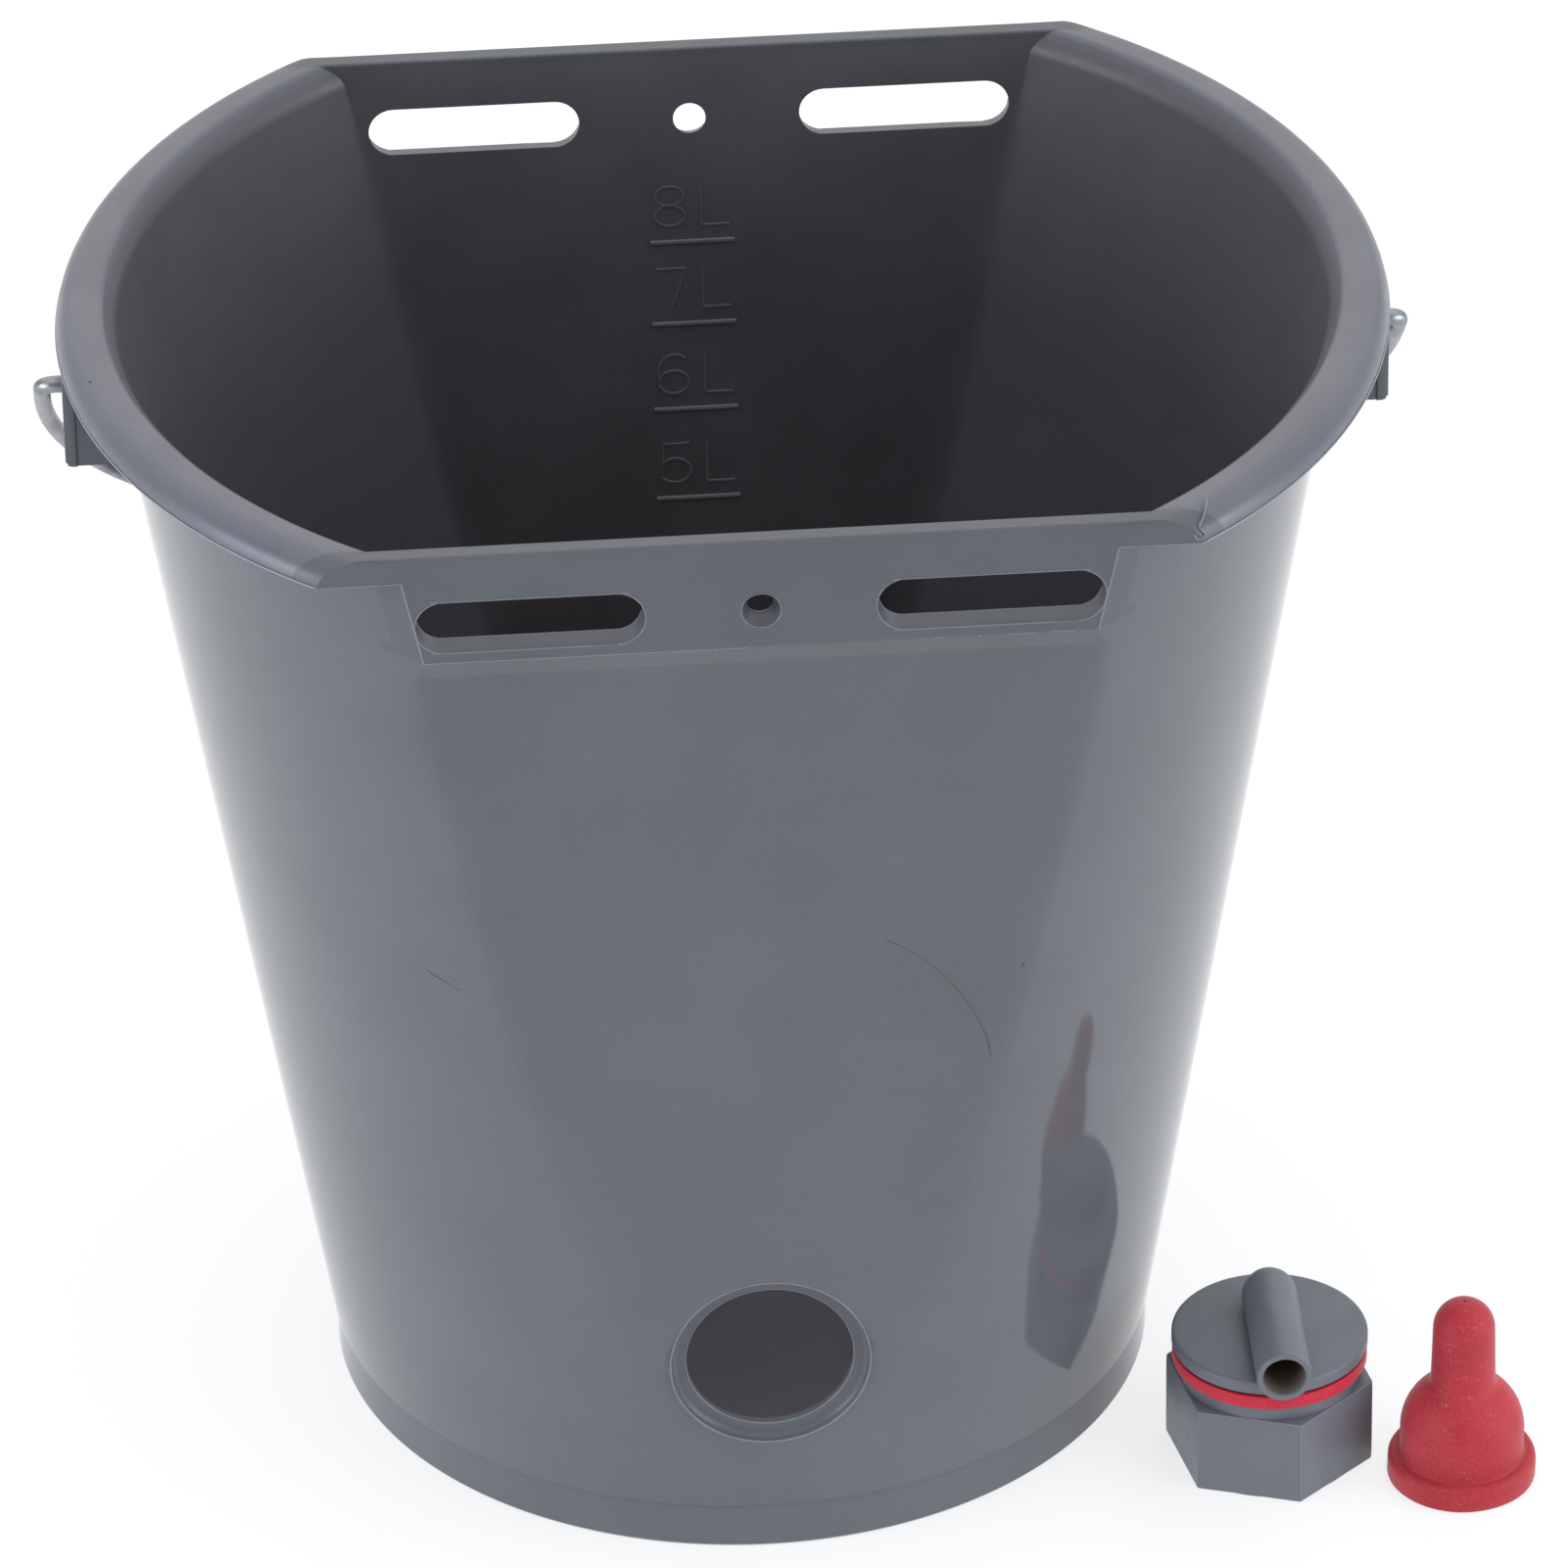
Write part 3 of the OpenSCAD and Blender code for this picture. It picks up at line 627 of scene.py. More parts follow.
def smoothed(points):
    """A smooth path through points, with three more between each two."""
    points = [Vector(p) for p in points]
    path = []
    for i, (p1, p2) in enumerate(zip(points, points[1:])):
        p0, p3 = points[max(i - 1, 0)], points[min(i + 2, len(points) - 1)]
        for t in (0, .25, .5, .75):
            square = (2 * p0 - 5 * p1 + 4 * p2 - p3) * t ** 2
            cube = (3 * p1 - p0 - 3 * p2 + p3) * t ** 3
            path.append(.5 * (2 * p1 + (p2 - p0) * t + square + cube))
    return path + points[-1:]


# A string's sides, the direction that turns its sections, and how far its ends thin out
STRING_SIDES, STRING_UP, STRING_END = 6, Vector((.3, .2, .93)), .35


def tube(bm, points, radius, finish=0):
    """A thin round string through points in millimetres, smoothed between them."""
    first = len(bm.faces)
    path = smoothed(points)
    last = len(path) - 1
    rings = []
    for i, p in enumerate(path):
        along = (path[min(i + 1, last)] - path[max(i - 1, 0)]).normalized()
        across = along.cross(STRING_UP).normalized()
        up = along.cross(across)
        r = radius * (STRING_END if i in (0, last) else 1)
        rings.append([bm.verts.new((p + (across * cos(a) + up * sin(a)) * r) * MM)
                      for a in turns(STRING_SIDES)])
    loft(bm, rings)
    set_finish(bm, first, finish)


def ring_points(r, place, count):
    """Points round a closed circle, each placed by a function of its two coordinates."""
    angles = [2 * pi * i / count for i in range(count + 1)]
    return [place(r * cos(a), r * sin(a)) for a in angles]


# Mould lines, lighter as painted highlights: width and height up the bands' ends and elsewhere,
# their lift over an edge, and the pieces of the broken one under a band as shares of its half width
END_LINE, FINE_LINE, LINE_LIFT = (.45, .1), (.4, .1), .1
BROKEN_LINE = ((-1, -.28), (-.27, -.13), (-.12, -.04), (.51, .54), (.64, .655), (.725, .82),
               (.855, .93))
# Edges with wear and the rim's lower edge, lighter as painted highlights: radius of the string that
# each one is
SLOT_WEAR_HIGHLIGHT, SLOT_IN_WEAR_HIGHLIGHT, HOLE_WEAR_HIGHLIGHT, RIM_HIGHLIGHT, RECESS_WEAR_HIGHLIGHT, PORT_WEAR_HIGHLIGHT = .16, .17, .14, .2, .18, .16
SLOT_WEAR_FALL = .31


def slot_wear(side_x, side_y):
    """Paths of a slot's edges with wear, lighter as painted highlights: its outer edge, and its lower
    edge inside.
    """
    r = SLOT_H / 2
    outer, inner = [], []
    for x, z in stadium(SLOT_HALF, r + .2):
        level = HANG_Z + z - SLOT_WEAR_FALL * (1 - z / r)
        outer.append((side_x * SLOT_X + x, side_y * (band_y(level) - .05), level))
    for x, z in stadium(SLOT_HALF, r - .35):
        if z < -.5:
            level = HANG_Z + z
            inner.append((side_x * SLOT_X + x, side_y * (inner_y(level) + .2), level))
    return outer + outer[:1], sorted(inner)


def on_port(depth):
    def place(x, z):
        v = PORT_Z + z * cos(FLAT_TILT)
        return (x, -flat_y(v) + depth * cos(FLAT_TILT), v + depth * sin(FLAT_TILT))
    return place


def build_seams():
    """Mould lines round each band, and edges of slots, holes and port with wear, all lighter as
    painted highlights, and a painted highlight along the rim's lower edge.
    """
    bm = bmesh.new()
    low = cone_reach(BAND_Z)
    line_z = LIP_Z + LINE_LIFT
    cap = sqrt((RIM_R - .5) ** 2 - band_outline(LIP_Z) ** 2)
    rim_start = meeting_angle(band_outline(LIP_Z), RIM_R)
    rim_angles = levels(rim_start, pi - rim_start, radians(4))
    for side in (-1, 1):
        def on_band(u, v, lift, side=side):
            return (u * MM, side * (band_outline(v) + lift) * MM, v * MM)
        for end in (-1, 1):
            line = [(end * cone_reach(z), z) for z in levels(BAND_Z, LIP_Z, 3)]
            ridge(bm, line, *END_LINE, on_band)
            line = [(end * cone_reach(LIP_Z), line_z), (end * cap, line_z)]
            ridge(bm, line, *FINE_LINE, on_band)
        for shares in BROKEN_LINE:
            line = [(share * low, BAND_Z + LINE_LIFT) for share in shares]
            ridge(bm, line, *FINE_LINE, on_band)
        for side_x in (-1, 1):
            outer, inner = slot_wear(side_x, side)
            tube(bm, outer, SLOT_WEAR_HIGHLIGHT)
            tube(bm, inner, SLOT_IN_WEAR_HIGHLIGHT)
        sink, drop = SINKS[side]
        middle = HANG_Z - drop

        def on_edge(x, z, side=side, middle=middle):
            return (x, side * (band_y(middle + z) - .08), middle + z)
        tube(bm, ring_points(sink, on_edge, 24), HOLE_WEAR_HIGHLIGHT)
        path = [(side * RIM_R * sin(a), RIM_R * cos(a), LIP_Z + .05) for a in rim_angles]
        # The rim's lower edge: a painted highlight line
        tube(bm, path, RIM_HIGHLIGHT, 1)
    tube(bm, ring_points(RECESS_R + .15, on_port(.02), 64), RECESS_WEAR_HIGHLIGHT)
    tube(bm, ring_points(PORT_R + .15, on_port(RECESS_DEPTH + .02), 64), PORT_WEAR_HIGHLIGHT)
    return shade(mesh_object("mould_seams_and_highlights", bm), 70)


# A string of flash over the rim, then fine scratches and two specks: radius and points of each
FLASH = ((.28, ((99.0, -98.4, 278.6), (98.8, -99.4, 279.5), (98.2, -102.7, 279.7),
                (97.2, -108.9, 279.5), (96.2, -112.0, 278.5), (95.2, -113.9, 277.3),
                (96.5, -114.2, 275.7), (94.9, -114.5, 274.6), (94.1, -114.5, 276.2))),)
SCRATCHES = (
    (.12, ((-74.8, -94.4, 161.7), (-72.3, -96.1, 160.5), (-69.8, -97.7, 159.6),
           (-67.5, -99.1, 158.5))),
    (.12, ((26.9, -106.8, 170.9), (33.4, -106.5, 166.7), (39.9, -106.2, 160.1),
           (45.4, -105.7, 151.9), (48.7, -105.1, 144.3), (49.8, -104.6, 140.0),
           (50.3, -104.1, 136.5))),
    (.1, ((-108.1, 66.8, 220.5), (-105.5, 70.9, 220.6), (-102.8, 74.5, 219.9))),
    (.3, ((57.4, -105.3, 162.0), (57.6, -105.2, 161.0))),
    (.25, ((-142.6, -30.1, 279.5), (-142.2, -30.5, 279.5))),
)


def build_strings(name, strings):
    bm = bmesh.new()
    for radius, points in strings:
        tube(bm, points, radius)
    return mesh_object(name, bm)


# Screw thread: root radius, the nut's depth, half crest and half foot as shares of the pitch, rows
ROOT_R, NUT_THREAD = 17.3, 1.15
SHANK_CREST, NUT_CREST = (.13, .35), (.2, .42)
THREAD_ROWS = .28


def crest(a, z, flat, foot):
    phase = (z / PITCH - a / (2 * pi) + .5) % 1 - .5
    return clamp((foot - abs(phase)) / (foot - flat))


def run_out(z, low, high):
    """The share of the thread's depth that is left near its ends."""
    return clamp((z - low) / PITCH) * clamp((high - z) / PITCH)


def shank_r(a, z):
    ends = run_out(z, SHANK_Z + .2, DISC_Z - 1)
    return ROOT_R + (SHANK_R - ROOT_R) * crest(a, z, *SHANK_CREST) * ends


def bore_r(a, z):
    inward = 1 - crest(a, z, *NUT_CREST)
    return BORE_R - NUT_THREAD * inward * run_out(z, SHOULDER_Z + 1, NUT_TOP - .6)


def thread_rows(radius, start, end):
    return [lambda a, z=z: (radius(a, z), z) for z in levels(start, end, THREAD_ROWS)]


# The nut's hexagon: columns of a side in degrees, and the rounding of its corners
HEX_COLUMNS = (-30, -29.3, -28.4, -27, -25, -22, -18, -13.5, -9, -4.5,
               0, 4.5, 9, 13.5, 18, 22, 25, 27, 28.4, 29.3)
HEX_ANGLES = [radians(NUT_TURN + 30 + 60 * k + v) for k in range(6) for v in HEX_COLUMNS]
HEX_SOFT = .5
# Rounding of its lower and upper edge, as inset and distance from the end
HEX_LOW = ((.7, 0), (.22, .2), (.05, .45), (0, .75))
HEX_HIGH = ((0, .6), (.04, .35), (.16, .12), (.45, 0))
COLLAR_EASE = .5


def hex_r(a):
    v = (degrees(a) - NUT_TURN) % 60 - 30
    flat = NUT_AF / 2
    nearest, next_side = cos(radians(v)), cos(radians(60 - abs(v)))
    return soft_min(flat / nearest, flat / next_side, HEX_SOFT)


def build_nut():
    def hexagon(inset, z):
        return lambda a: (max(hex_r(a) - inset, COLLAR_R + .05), z)
    rows = [(MOUTH_R + .5, 0)]
    rows += [hexagon(inset, z) for inset, z in HEX_LOW]
    rows += [hexagon(inset, NUT_H - below) for inset, below in HEX_HIGH]
    rows += [(COLLAR_R + .02, NUT_H + .02), (COLLAR_R, NUT_H + .3), (COLLAR_R, NUT_TOP - COLLAR_EASE)]
    rows += arc(COLLAR_R - COLLAR_EASE, NUT_TOP - COLLAR_EASE, COLLAR_EASE, 0, 90, 4)[1:]
    rows += [(BORE_R + .7, NUT_TOP), (BORE_R, NUT_TOP - .6)]
    rows += thread_rows(bore_r, NUT_TOP - .9, SHOULDER_Z + .8)
    rows += [(BORE_R, SHOULDER_Z), (MOUTH_R, SHOULDER_Z), (MOUTH_R, .5)]
    nut = revolved("valve_nut", rows, HEX_ANGLES, closed=False)
    return shade(moved(nut, VALVE_X, VALVE_Y), 40)


# Radius and inset of the nut's edges with wear, lighter as painted highlights, on top and down the
# corners
TOP_WEAR_HIGHLIGHT, TOP_INSET, CORNER_WEAR_HIGHLIGHT, CORNER_INSET = .13, .12, .1, .02


def build_nut_edges():
    bm = bmesh.new()

    def at(a, z, inset):
        r = hex_r(a) - inset
        return (VALVE_X + r * cos(a), VALVE_Y + r * sin(a), z)
    tube(bm, [at(a, NUT_H - .16, TOP_INSET) for a in HEX_ANGLES + HEX_ANGLES[:1]], TOP_WEAR_HIGHLIGHT)
    for k in range(6):
        corner = radians(NUT_TURN + 60 * k)
        path = [at(corner, z, CORNER_INSET) for z in (.9, 7, 14, NUT_H - .5)]
        tube(bm, path, CORNER_WEAR_HIGHLIGHT)
    return shade(mesh_object("nut_edge_highlights", bm), 70)


# The seal: roundings of lower and upper edge and bore, and the width of its thin edge
SEAL_LOW, SEAL_HIGH, SEAL_BORE, SEAL_THIN = .4, .3, .3, 2.6


def build_seal():
    """The seal's outer edge is thinner than the gap, so that a dark line shows under the disc."""
    rows = [(BORE_R, NUT_TOP + SEAL_BORE), (BORE_R + SEAL_BORE, NUT_TOP), (SEAL_R - .5, NUT_TOP)]
    rows += arc(SEAL_R - SEAL_LOW, NUT_TOP + SEAL_LOW, SEAL_LOW, -90, 0, 5)[1:]
    rows += arc(SEAL_R - SEAL_HIGH, SEAL_TOP - SEAL_HIGH, SEAL_HIGH, 0, 90, 5)
    rows += [(SEAL_R - SEAL_THIN, SEAL_TOP), (SEAL_R - 3, DISC_Z)]
    rows += [(BORE_R + SEAL_BORE, DISC_Z), (BORE_R, DISC_Z - SEAL_BORE)]
    seal = revolved("seal_ring", rows, 144, closed=False)
    return shade(moved(seal, VALVE_X, VALVE_Y), 50)


# The valve: eased edges of disc, shank and pipe, and how far the bore's cutter stands out
DISC_FOOT, SHANK_EASE, SHANK_END, PIPE_EASE, PIPE_FLARE, PIPE_OVER = .4, .6, .4, .35, .28, 4


def lengthwise(obj):
    """Lays a solid drawn along Z where the intake pipe lies."""
    aside = Matrix.Translation((PIPE_ASIDE * MM, PIPE_END_Y * MM, 0))
    turn = Matrix.Rotation(radians(PIPE_TURN), 4, "Z") @ aside
    lift = Matrix.Translation((0, 0, PIPE_Z * MM))
    obj.data.transform(lift @ turn @ Matrix.Rotation(radians(90), 4, "X"))
    return obj


def build_valve():
    rows = [(0, DISC_TOP), (12, DISC_TOP), (DISC_R - DISC_EDGE - .6, DISC_TOP - .03)]
    rows += arc(DISC_R - DISC_EDGE, DISC_TOP - DISC_EDGE, DISC_EDGE, 80, 0, 6)
    rows += [(DISC_R, DISC_Z + .6)]
    rows += arc(DISC_R - DISC_FOOT, DISC_Z + DISC_FOOT, DISC_FOOT, 0, -90, 4)
    rows += [(ROOT_R + .7, DISC_Z), (ROOT_R, DISC_Z - SHANK_EASE)]
    rows += thread_rows(shank_r, DISC_Z - .9, SHANK_Z + .3)
    rows += [(ROOT_R - .3, SHANK_Z), (SHANK_IN_R + SHANK_END, SHANK_Z)]
    rows += [(SHANK_IN_R, SHANK_Z + SHANK_END), (SHANK_IN_R, DISC_Z - SHANK_EASE)]
    rows += [(SHANK_IN_R - SHANK_EASE, DISC_Z), (CHAMBER_R + SHANK_EASE, DISC_Z)]
    rows += [(CHAMBER_R, DISC_Z - SHANK_EASE), (CHAMBER_R, CHAMBER_Z)]
    rows += [(CHAMBER_IN_R, CHAMBER_Z), (CHAMBER_IN_R, DISC_Z), (0, DISC_Z)]
    valve = revolved("valve_disc", rows, 144)

    outside = arc(0, 0, PIPE_R, -90, 0, 10) + [(PIPE_R, PIPE_L - .5)]
    outside += arc(PIPE_R - PIPE_EASE, PIPE_L - PIPE_EASE, PIPE_EASE, 20, 90, 4) + [(0, PIPE_L)]
    wide, over = PIPE_IN_R + PIPE_FLARE, PIPE_L + PIPE_OVER
    inside = arc(0, 0, PIPE_IN_R, -90, 0, 8) + [(PIPE_IN_R, PIPE_L - .5), (wide, PIPE_L + .05)]
    inside += [(wide, over), (0, over)]
    cut(valve, lengthwise(revolved("pipe", outside, 64)), "UNION")
    cut(valve, lengthwise(revolved("pipe_bore", inside, 64)))
    seat = [(0, DISC_Z - 1), (SEAT_R, DISC_Z - 1), (SEAT_R, PIPE_Z), (0, PIPE_Z)]
    cut(valve, revolved("seat", seat, 48))
    for face in valve.data.polygons:
        along = Matrix.Rotation(radians(-PIPE_TURN), 4, "Z") @ (face.center / MM)
        beyond = max(0.0, along.y - PIPE_END_Y)
        out = hypot(along.x - PIPE_ASIDE, along.z - PIPE_Z, beyond)
        face.material_index = int(out < PIPE_IN_R + .02)
    return shade(moved(valve, VALVE_X, VALVE_Y), 35)


# The teat's trimmed flange: place over its radius, height and unevenness of each row
FLANGE_ROWS = ((-.4, 0, .3), (-.12, .2, .2), (0, .6, .12), (0, 2.2, .1), (0, 4.2, .1),
               (-.1, 5.2, .12), (-.5, 5.95, .15), (-1.1, 6.3, .1))
# Where the body rises from it: place over the body's radius and the flange's top
BODY_FOOT = ((.6, -.15), (.25, .1), (.08, .6), (0, 1.4))
FLANGE_IN_R, MILK_R, TIP_END = 12.4, .25, 84


def build_teat():
    """Hollow teat: trimmed flange, domed shoulder, neck, and a tip with its milk hole."""
    tip_z = TEAT_H - TIP_R
    corner_r = NECK_R + NECK_CORNER
    corner_z = DOME_Z + sqrt((BODY_R + NECK_CORNER) ** 2 - corner_r ** 2)
    turn = degrees(atan2(corner_z - DOME_Z, corner_r))
    neck_in, body_in = NECK_R - TEAT_WALL, BODY_R - TEAT_WALL

    def uneven(r, z, by):
        return lambda a: (r - by * (.5 + .5 * sin(2 * a + 1.1) * cos(3 * a + z)), z)
    rows = [(FLANGE_IN_R, 0)] + [uneven(FLANGE_R + out, z, by) for out, z, by in FLANGE_ROWS]
    rows += [(FLANGE_R - 1.8, FLANGE_T - .05)]
    rows += [(BODY_R + out, FLANGE_T + up) for out, up in BODY_FOOT] + [(BODY_R, DOME_Z - 2)]
    rows += arc(0, DOME_Z, BODY_R, 0, turn, 16)
    rows += arc(corner_r, corner_z, NECK_CORNER, 180 + turn, 180, 8)[1:]
    rows += [(NECK_R - .12, corner_z + 4), (NECK_R - .24, corner_z + 9), (TIP_R + .05, tip_z - 1)]
    rows += arc(0, tip_z, TIP_R, 0, TIP_END, 16)
    rows += [(.4, TEAT_H - .1), (MILK_R, TEAT_H - .4), (MILK_R, TEAT_H - TEAT_WALL - .2)]
    rows += arc(0, tip_z, TIP_R - TEAT_WALL, TIP_END, 0, 8)
    rows += [(neck_in, corner_z), (neck_in, corner_z - 3)]
    rows += arc(0, DOME_Z, body_in, 60, 0, 8)
    rows += [(body_in, .4)]
    teat = revolved("rubber_teat", rows, 128, closed=False)
    return shade(moved(teat, TEAT_X, TEAT_Y), 60)


def add(tree, kind, inputs=None, **settings):
    """One shader node; inputs are values, or sockets to link."""
    node = tree.nodes.new("ShaderNode" + kind)
    for key, value in settings.items():
        setattr(node, key, value)
    for key, value in (inputs or {}).items():
        if isinstance(value, bpy.types.NodeSocket):
            tree.links.new(value, node.inputs[key])
        else:
            node.inputs[key].default_value = value
    return node


def calc(tree, operation, *values, limited=False):
    inputs = dict(enumerate(values))
    return add(tree, "Math", inputs, operation=operation, use_clamp=limited).outputs[0]


def noise(tree, place, scale, detail=3, roughness=.55):
    inputs = {"Vector": place, "Scale": scale, "Detail": detail, "Roughness": roughness}
    return add(tree, "TexNoise", inputs).outputs["Fac"]


def ramp(tree, value, stops):
    node = add(tree, "ValToRGB", {"Fac": value})
    elements = node.color_ramp.elements
    while len(elements) < len(stops):
        elements.new(.5)
    for element, (position, colour) in zip(elements, stops):
        element.position = position
        element.color = (*colour, 1)
    return node.outputs["Color"]


def spread(tree, value, low, high, start=.3, end=.7):
    inputs = {"Value": value, "From Min": start, "From Max": end, "To Min": low, "To Max": high}
    return add(tree, "MapRange", inputs).outputs[0]


def blend(tree, share, first, second):
    """A mix of two colours, each a value or a socket, by the numbers of the Mix node's sockets."""
    colours = [c if isinstance(c, bpy.types.NodeSocket) else (*c, 1) for c in (first, second)]
    inputs = {0: share, 6: colours[0], 7: colours[1]}
    return add(tree, "Mix", inputs, data_type="RGBA").outputs[2]


def new_material(name, **sockets):
    material = bpy.data.materials.new(name)
    material.use_nodes = True
    tree = material.node_tree
    shader = tree.nodes["Principled BSDF"]
    for key, value in sockets.items():
        shader.inputs[key.replace("_", " ")].default_value = value
    place = add(tree, "TexCoord").outputs["Object"]
    return material, tree, shader, place


def finish_material(tree, shader, colour, roughness, bump, depth):
    normal = add(tree, "Bump", {"Strength": 1.0, "Distance": depth, "Height": bump}).outputs[0]
    for key, value in (("Base Color", colour), ("Roughness", roughness), ("Normal", normal)):
        tree.links.new(value, shader.inputs[key])


# Noise scales of the plastic: clouds, grain and changes of gloss
CLOUDS, GRAIN, GLOSS_CLOUDS = 28, 2400, 90
PLASTIC_IOR = 1.5
# Depths of the grain in metres: polished, fine and coarse
POLISHED, BALL_GRAIN, FINE, COARSE = .000003, .000002, .00001, .00002


def mottle(tree, place, rough):
    """The clouds and grain in a plastic's tone, about zero, then its grain and its roughness."""
    cloudy = noise(tree, place, CLOUDS, 4)
    grain = noise(tree, place, GRAIN, 2, .6)
    tone = spread(tree, calc(tree, "ADD", cloudy, grain), -.25, .25, .75, 1.25)
    return tone, grain, spread(tree, noise(tree, place, GLOSS_CLOUDS, 5), *rough)


def toned(tree, tone, height, dark, light, painted_light_fade):
    """A colour between dark and light; the last argument gives the share of light at two heights,
    which paints light and shade by height.
    """
    share = spread(tree, height, painted_light_fade[0], painted_light_fade[1], painted_light_fade[2] * MM, painted_light_fade[3] * MM)
    return ramp(tree, calc(tree, "ADD", tone, share), [(0, dark), (1, light)])


def plastic(name, dark, light, rough, grain_depth, gloss=.5):
    """Moulded plastic: cloudy tone, fine grain and uneven gloss, and painted light that makes it
    lighter towards the bottom and darker towards the top.
    """
    material, tree, shader, place = new_material(name, IOR=PLASTIC_IOR, Specular_IOR_Level=gloss)
    tone, grain, roughness = mottle(tree, place, rough)
    height = add(tree, "SeparateXYZ", {0: place}).outputs[2]
    # Painted light: the tone is lighter low down and darker up high, as if lit by the glowing table
    colour = toned(tree, tone, height, dark, light, (.8, .2, 0, HEIGHT))
    finish_material(tree, shader, colour, roughness, grain, grain_depth)
    return material


# Inside of the wall: dark and light tone and the share of light at two heights, where round and where
# flat, and the change between them; the darkening is painted shade
ROUND_SHADE_TONES = (.084, .0795, .0935), (.114, .1085, .1275), (.35, .65, 140, 200)
FLAT_SHADE_TONES = (.0585, .052, .0603), (.1148, .1086, .1257), (0, .72, 130, 240)
TURN_FROM, TURN_TO = -2.2, -.4


def inside_plastic(name, rough):
    """The wall's dull inside, in painted shade: even where round, darker towards the bottom where
    flat.
    """
    material, tree, shader, place = new_material(name, IOR=PLASTIC_IOR)
    tone, grain, roughness = mottle(tree, place, rough)
    x, y, z = add(tree, "SeparateXYZ", {0: place}).outputs
    round_shaded_colour = toned(tree, tone, z, *ROUND_SHADE_TONES)
    flat_shaded_colour = toned(tree, tone, z, *FLAT_SHADE_TONES)
    plane = calc(tree, "MULTIPLY_ADD", z, FLAT_SLOPE, inner_y(0) * MM)
    beyond = calc(tree, "SUBTRACT", calc(tree, "ABSOLUTE", y), plane)
    flatness = spread(tree, beyond, 0, 1, TURN_FROM * MM, TURN_TO * MM)
    colour = blend(tree, flatness, round_shaded_colour, flat_shaded_colour)
    finish_material(tree, shader, colour, roughness, grain, FINE)
    return material


# Noise scales of the rubber, the draw of its streaks, and its bump in metres
RUBBER_CLOUDS, POWDER, STREAKS, STREAK_DRAW, RUBBER_BUMP = 70, 1500, 190, (1, 1, 6), .00003


def rubber(name, deep, plain, chalk, most):
    """Red rubber: cloudy tone, a soft sheen, and pale powder in specks and a few streaks."""
    material, tree, shader, place = new_material(
        name, Sheen_Weight=.18, Sheen_Roughness=.4, Specular_IOR_Level=.3)
    cloud = noise(tree, place, RUBBER_CLOUDS, 3, .5)
    powder = noise(tree, place, POWDER, 4, .7)
    drawn = add(tree, "Mapping", {"Vector": place, "Scale": STREAK_DRAW}).outputs[0]
    streak = noise(tree, drawn, STREAKS, 3, .6)
    colour = blend(tree, spread(tree, cloud, 0, 1, .35, .65), deep, plain)
    in_streaks = spread(tree, streak, .08, most, .6, .8)
    in_specks = spread(tree, powder, 0, 1, .5, .66)
    colour = blend(tree, calc(tree, "MULTIPLY", in_streaks, in_specks), colour, chalk)
    finish_material(tree, shader, colour, spread(tree, powder, .5, .7), powder, RUBBER_BUMP)
    return material


# The wire's zinc: colours by its spangle, and noise scales of spangle and gloss
ZINC = [(.35, (.23, .235, .25)), (.5, (.29, .3, .325)), (.65, (.35, .363, .4))]
SPANGLE, ZINC_GLOSS = 160, 900


def galvanised():
    material, tree, shader, place = new_material("galvanised_wire", Metallic=1.0)
    spangle = noise(tree, place, SPANGLE, 4, .6)
    roughness = spread(tree, noise(tree, place, ZINC_GLOSS, 3), .3, .45)
    finish_material(tree, shader, ramp(tree, spangle, ZINC), roughness, spangle, FINE)
    return material


def paint(obj, *names):
    obj.data.materials.clear()
    for name in names:
        obj.data.materials.append(finishes[name])


def dress(obj, body, node, slot, *names):
    """Puts a new piece on its body, in place of its CAD node, and gives it its finishes."""
    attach(obj, body)
    if node:
        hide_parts(node)
    indices = [face.material_index for face in obj.data.polygons]
    paint(obj, *names)
    obj.data.polygons.foreach_set("material_index", indices)


# Each plastic's dark and light tone, roughness, grain, and its gloss where it isn't .5
PLASTICS = {
    "bucket": ((.0825, .0888, .0995), (.1115, .12, .135), (.05, .09), POLISHED),
    # The bottom is lighter than the wall's inside, which brightens what shows through the port
    "bottom": ((.115, .11, .13), (.15, .143, .168), (.34, .46), FINE),
    "band": ((.082, .088, .101), (.111, .119, .136), (.3, .4), FINE, .35),
    # The rim is lighter than the wall's plastic: painted light on its top
    "rim": ((.101, .1035, .1255), (.136, .1395, .169), (.28, .38), FINE),
    # A painted highlight line along the rim's lower edge
    "highlight_bead": ((.24, .25, .275), (.3, .31, .335), (.25, .4), FINE),
    # Lighter strings on edges, seams and flash: wear, and painted highlight
    "wear_and_highlight": ((.155, .165, .195), (.2, .21, .24), (.25, .4), FINE),
    # Bars and numerals lighter than the wall they stand on: painted light on their tops
    "lit_bar": ((.145, .14, .157), (.19, .184, .203), (.3, .4), FINE),
    "lit_numeral": ((.112, .107, .122), (.145, .139, .157), (.3, .4), FINE),
    "scratched": ((.05, .052, .055), (.07, .072, .075), (.4, .5), FINE),
    "valve": ((.115, .125, .147), (.134, .146, .17), (.42, .55), COARSE),
    "bore": ((.1, .085, .07), (.13, .112, .095), (.5, .6), COARSE),
    # Lighter lines on the nut's edges: wear and painted highlight
    "nut_edge_highlight": ((.17, .18, .205), (.22, .23, .26), (.4, .5), FINE),
    "ball": ((.7, .69, .66), (.78, .77, .73), (.15, .25), BALL_GRAIN),
}
finishes = {name: plastic(name + "_plastic", *values) for name, values in PLASTICS.items()}
# Painted shade: the inside is darker than the outside, and darker low down where flat
finishes["inner"] = inside_plastic("painted_shade_inner_plastic", (.34, .46))
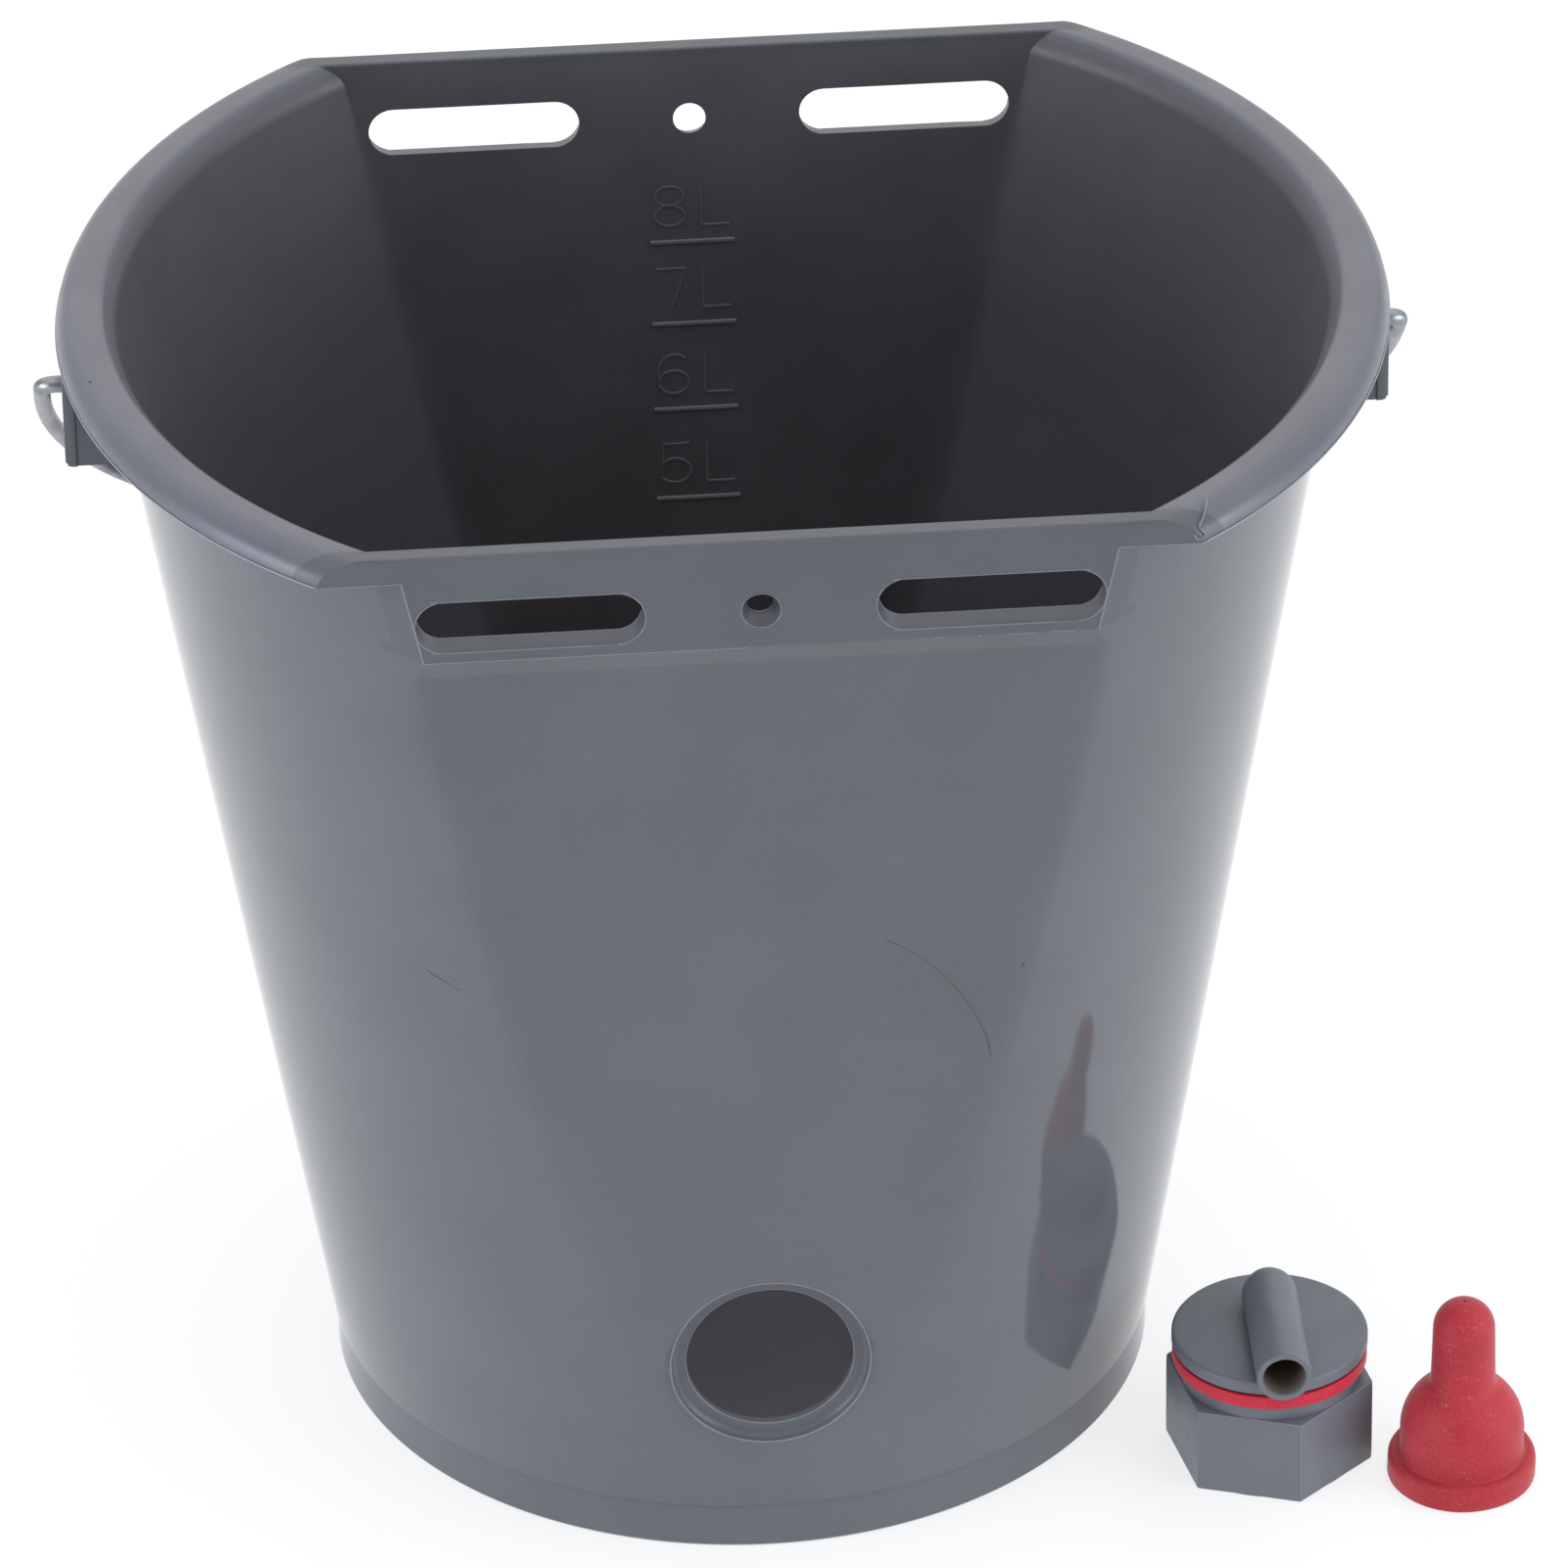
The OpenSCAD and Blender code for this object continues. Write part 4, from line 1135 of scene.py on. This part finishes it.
# Each rubber's deep and plain red, its powder's colour, and how thick that lies at most
finishes["teat"] = rubber("teat_rubber", (.355, .016, .026), (.415, .025, .037), (.75, .38, .4), .65)
finishes["seal"] = rubber("seal_rubber", (.48, .012, .034), (.54, .018, .044), (.7, .3, .34), .15)
finishes["wire"] = galvanised()

dress(build_bucket(), "bucket", "bucket_body", "bucket_plastic",
      "bucket", "inner", "bottom", "band", "rim")
for ear_side in (1, -1):
    dress(build_ear(ear_side), "bucket", None, "bucket_plastic", "band")
dress(build_marks(), "bucket", None, "bucket_plastic", "lit_bar", "lit_numeral")
dress(build_seams(), "bucket", None, "bucket_plastic", "wear_and_highlight", "highlight_bead")
dress(shade(build_strings("flash_string", FLASH), 70), "bucket", None, "bucket_plastic", "wear_and_highlight")
dress(build_strings("wall_scratches", SCRATCHES), "bucket", None, "bucket_plastic", "scratched")
dress(build_nut(), "nut", "hex_nut", "valve_plastic", "valve")
dress(build_nut_edges(), "nut", None, "valve_plastic", "nut_edge_highlight")
dress(build_seal(), "seal", "valve_seal", "seal_rubber", "seal")
dress(build_valve(), "valve", "valve_body", "valve_plastic", "valve", "bore")
dress(build_teat(), "teat", "teat", "teat_rubber", "teat")
paint(bpy.data.objects["bail_handle"], "wire")
paint(bpy.data.objects["check_ball"], "ball")
paint(bpy.data.objects["ball_retainer"], "valve")


def add_camera():
    """The camera as fitted to the photograph, in degrees and metres."""
    azimuth, elevation, roll = (radians(v) for v in (-3.912, 31.963, .956))
    distance, aside, height = 2.6759, .01203, .14677
    focal_px, picture_px, sensor_mm = 11870, 1601, 36
    level = cos(elevation)
    back = Vector((sin(azimuth) * level, -cos(azimuth) * level, sin(elevation)))
    right = Vector((cos(azimuth), sin(azimuth), 0))
    down = (-back).cross(right)
    side = right * cos(roll) + down * sin(roll)
    fall = down * cos(roll) - right * sin(roll)
    data = bpy.data.cameras.new("camera")
    data.sensor_width = sensor_mm
    data.lens = sensor_mm * focal_px / picture_px
    data.clip_start, data.clip_end = .1, 30
    camera = new_object("camera", data)
    turn = Matrix((side, -fall, back)).transposed().to_4x4()
    place = back * distance + right * aside + Vector((0, 0, height))
    camera.matrix_world = Matrix.Translation(place) @ turn
    scene.camera = camera


# The table: size in metres and matt white, then colour, strength and share of its glow
TABLE, TABLE_WHITE = 12, (.92, .92, .92, 1)
GLOW, GLOW_STRENGTH, GLOW_SHARE = (.98, .99, 1, 1), 1.05, .7

# The tent's light low down and at middle height on each side, then above, and the sine of each rise
FRONT, BEHIND, LEFT, RIGHT = (.3, .2), (.56, 1.64), (.52, .44), (.42, .88)
TOP_LEVEL, RISE = 1.47, .45

# The lamps: place and power of each, then what they share
LAMPS = (("left_lamp", (-1.38, -.58, .36), 13.6), ("right_lamp", (1.34, -.66, .36), 12.8))
LAMP_TARGET, LAMP_SIZE, LAMP_COLOUR = (0, -.02, .14), (1.2, .6), (.83, .89, 1)


def empty_tree(owner):
    owner.use_nodes = True
    owner.node_tree.nodes.clear()
    return owner.node_tree


def add_floor():
    """A white table, lit evenly from inside in part, so that it keeps a soft shadow."""
    bpy.ops.mesh.primitive_plane_add(size=TABLE)
    floor = bpy.context.object
    floor.name = "floor"
    material = bpy.data.materials.new("floor")
    tree = empty_tree(material)
    glow = add(tree, "Emission", {"Color": GLOW, "Strength": GLOW_STRENGTH})
    matt = add(tree, "BsdfDiffuse", {"Color": TABLE_WHITE})
    mix = add(tree, "MixShader", {0: GLOW_SHARE, 1: matt.outputs[0], 2: glow.outputs[0]})
    add(tree, "OutputMaterial", {0: mix.outputs[0]})
    floor.data.materials.append(material)


def add_tent():
    scene.world = bpy.data.worlds.new("tent")
    tree = empty_tree(scene.world)
    x, y, z = add(tree, "SeparateXYZ", {0: add(tree, "TexCoord").outputs["Generated"]}).outputs
    across = calc(tree, "MULTIPLY_ADD", y, y, TINY)
    across = calc(tree, "ADD", calc(tree, "MULTIPLY", x, x), across)
    low = middle = 0.0
    for axis, sign, (low_level, middle_level) in ((y, -1.0, FRONT), (y, 1.0, BEHIND),
                                                  (x, -1.0, LEFT), (x, 1.0, RIGHT)):
        ahead = calc(tree, "MAXIMUM", calc(tree, "MULTIPLY", axis, sign), 0.0)
        share = calc(tree, "DIVIDE", calc(tree, "MULTIPLY", ahead, ahead), across)
        low = calc(tree, "MULTIPLY_ADD", share, low_level, low)
        middle = calc(tree, "MULTIPLY_ADD", share, middle_level, middle)
    to_middle = calc(tree, "DIVIDE", z, RISE, limited=True)
    to_top = calc(tree, "DIVIDE", calc(tree, "SUBTRACT", z, RISE), RISE, limited=True)
    level = calc(tree, "MULTIPLY_ADD", to_middle, calc(tree, "SUBTRACT", middle, low), low)
    level = calc(tree, "MULTIPLY_ADD", to_top, calc(tree, "SUBTRACT", TOP_LEVEL, level), level)
    light = add(tree, "Background", {"Color": (1, 1, 1, 1), "Strength": level})
    add(tree, "OutputWorld", {0: light.outputs[0]})


def add_lamp(name, place, power):
    data = bpy.data.lights.new(name, "AREA")
    data.color = LAMP_COLOUR
    data.shape = "RECTANGLE"
    data.size, data.size_y = LAMP_SIZE
    data.energy = power
    lamp = new_object(name, data)
    lamp.location = place
    aim = Vector(LAMP_TARGET) - Vector(place)
    lamp.rotation_euler = aim.to_track_quat("-Z", "Y").to_euler()
    lamp.visible_camera = False


add_camera()
add_floor()
add_tent()
for lamp_values in LAMPS:
    add_lamp(*lamp_values)

scene.view_settings.view_transform = "Standard"
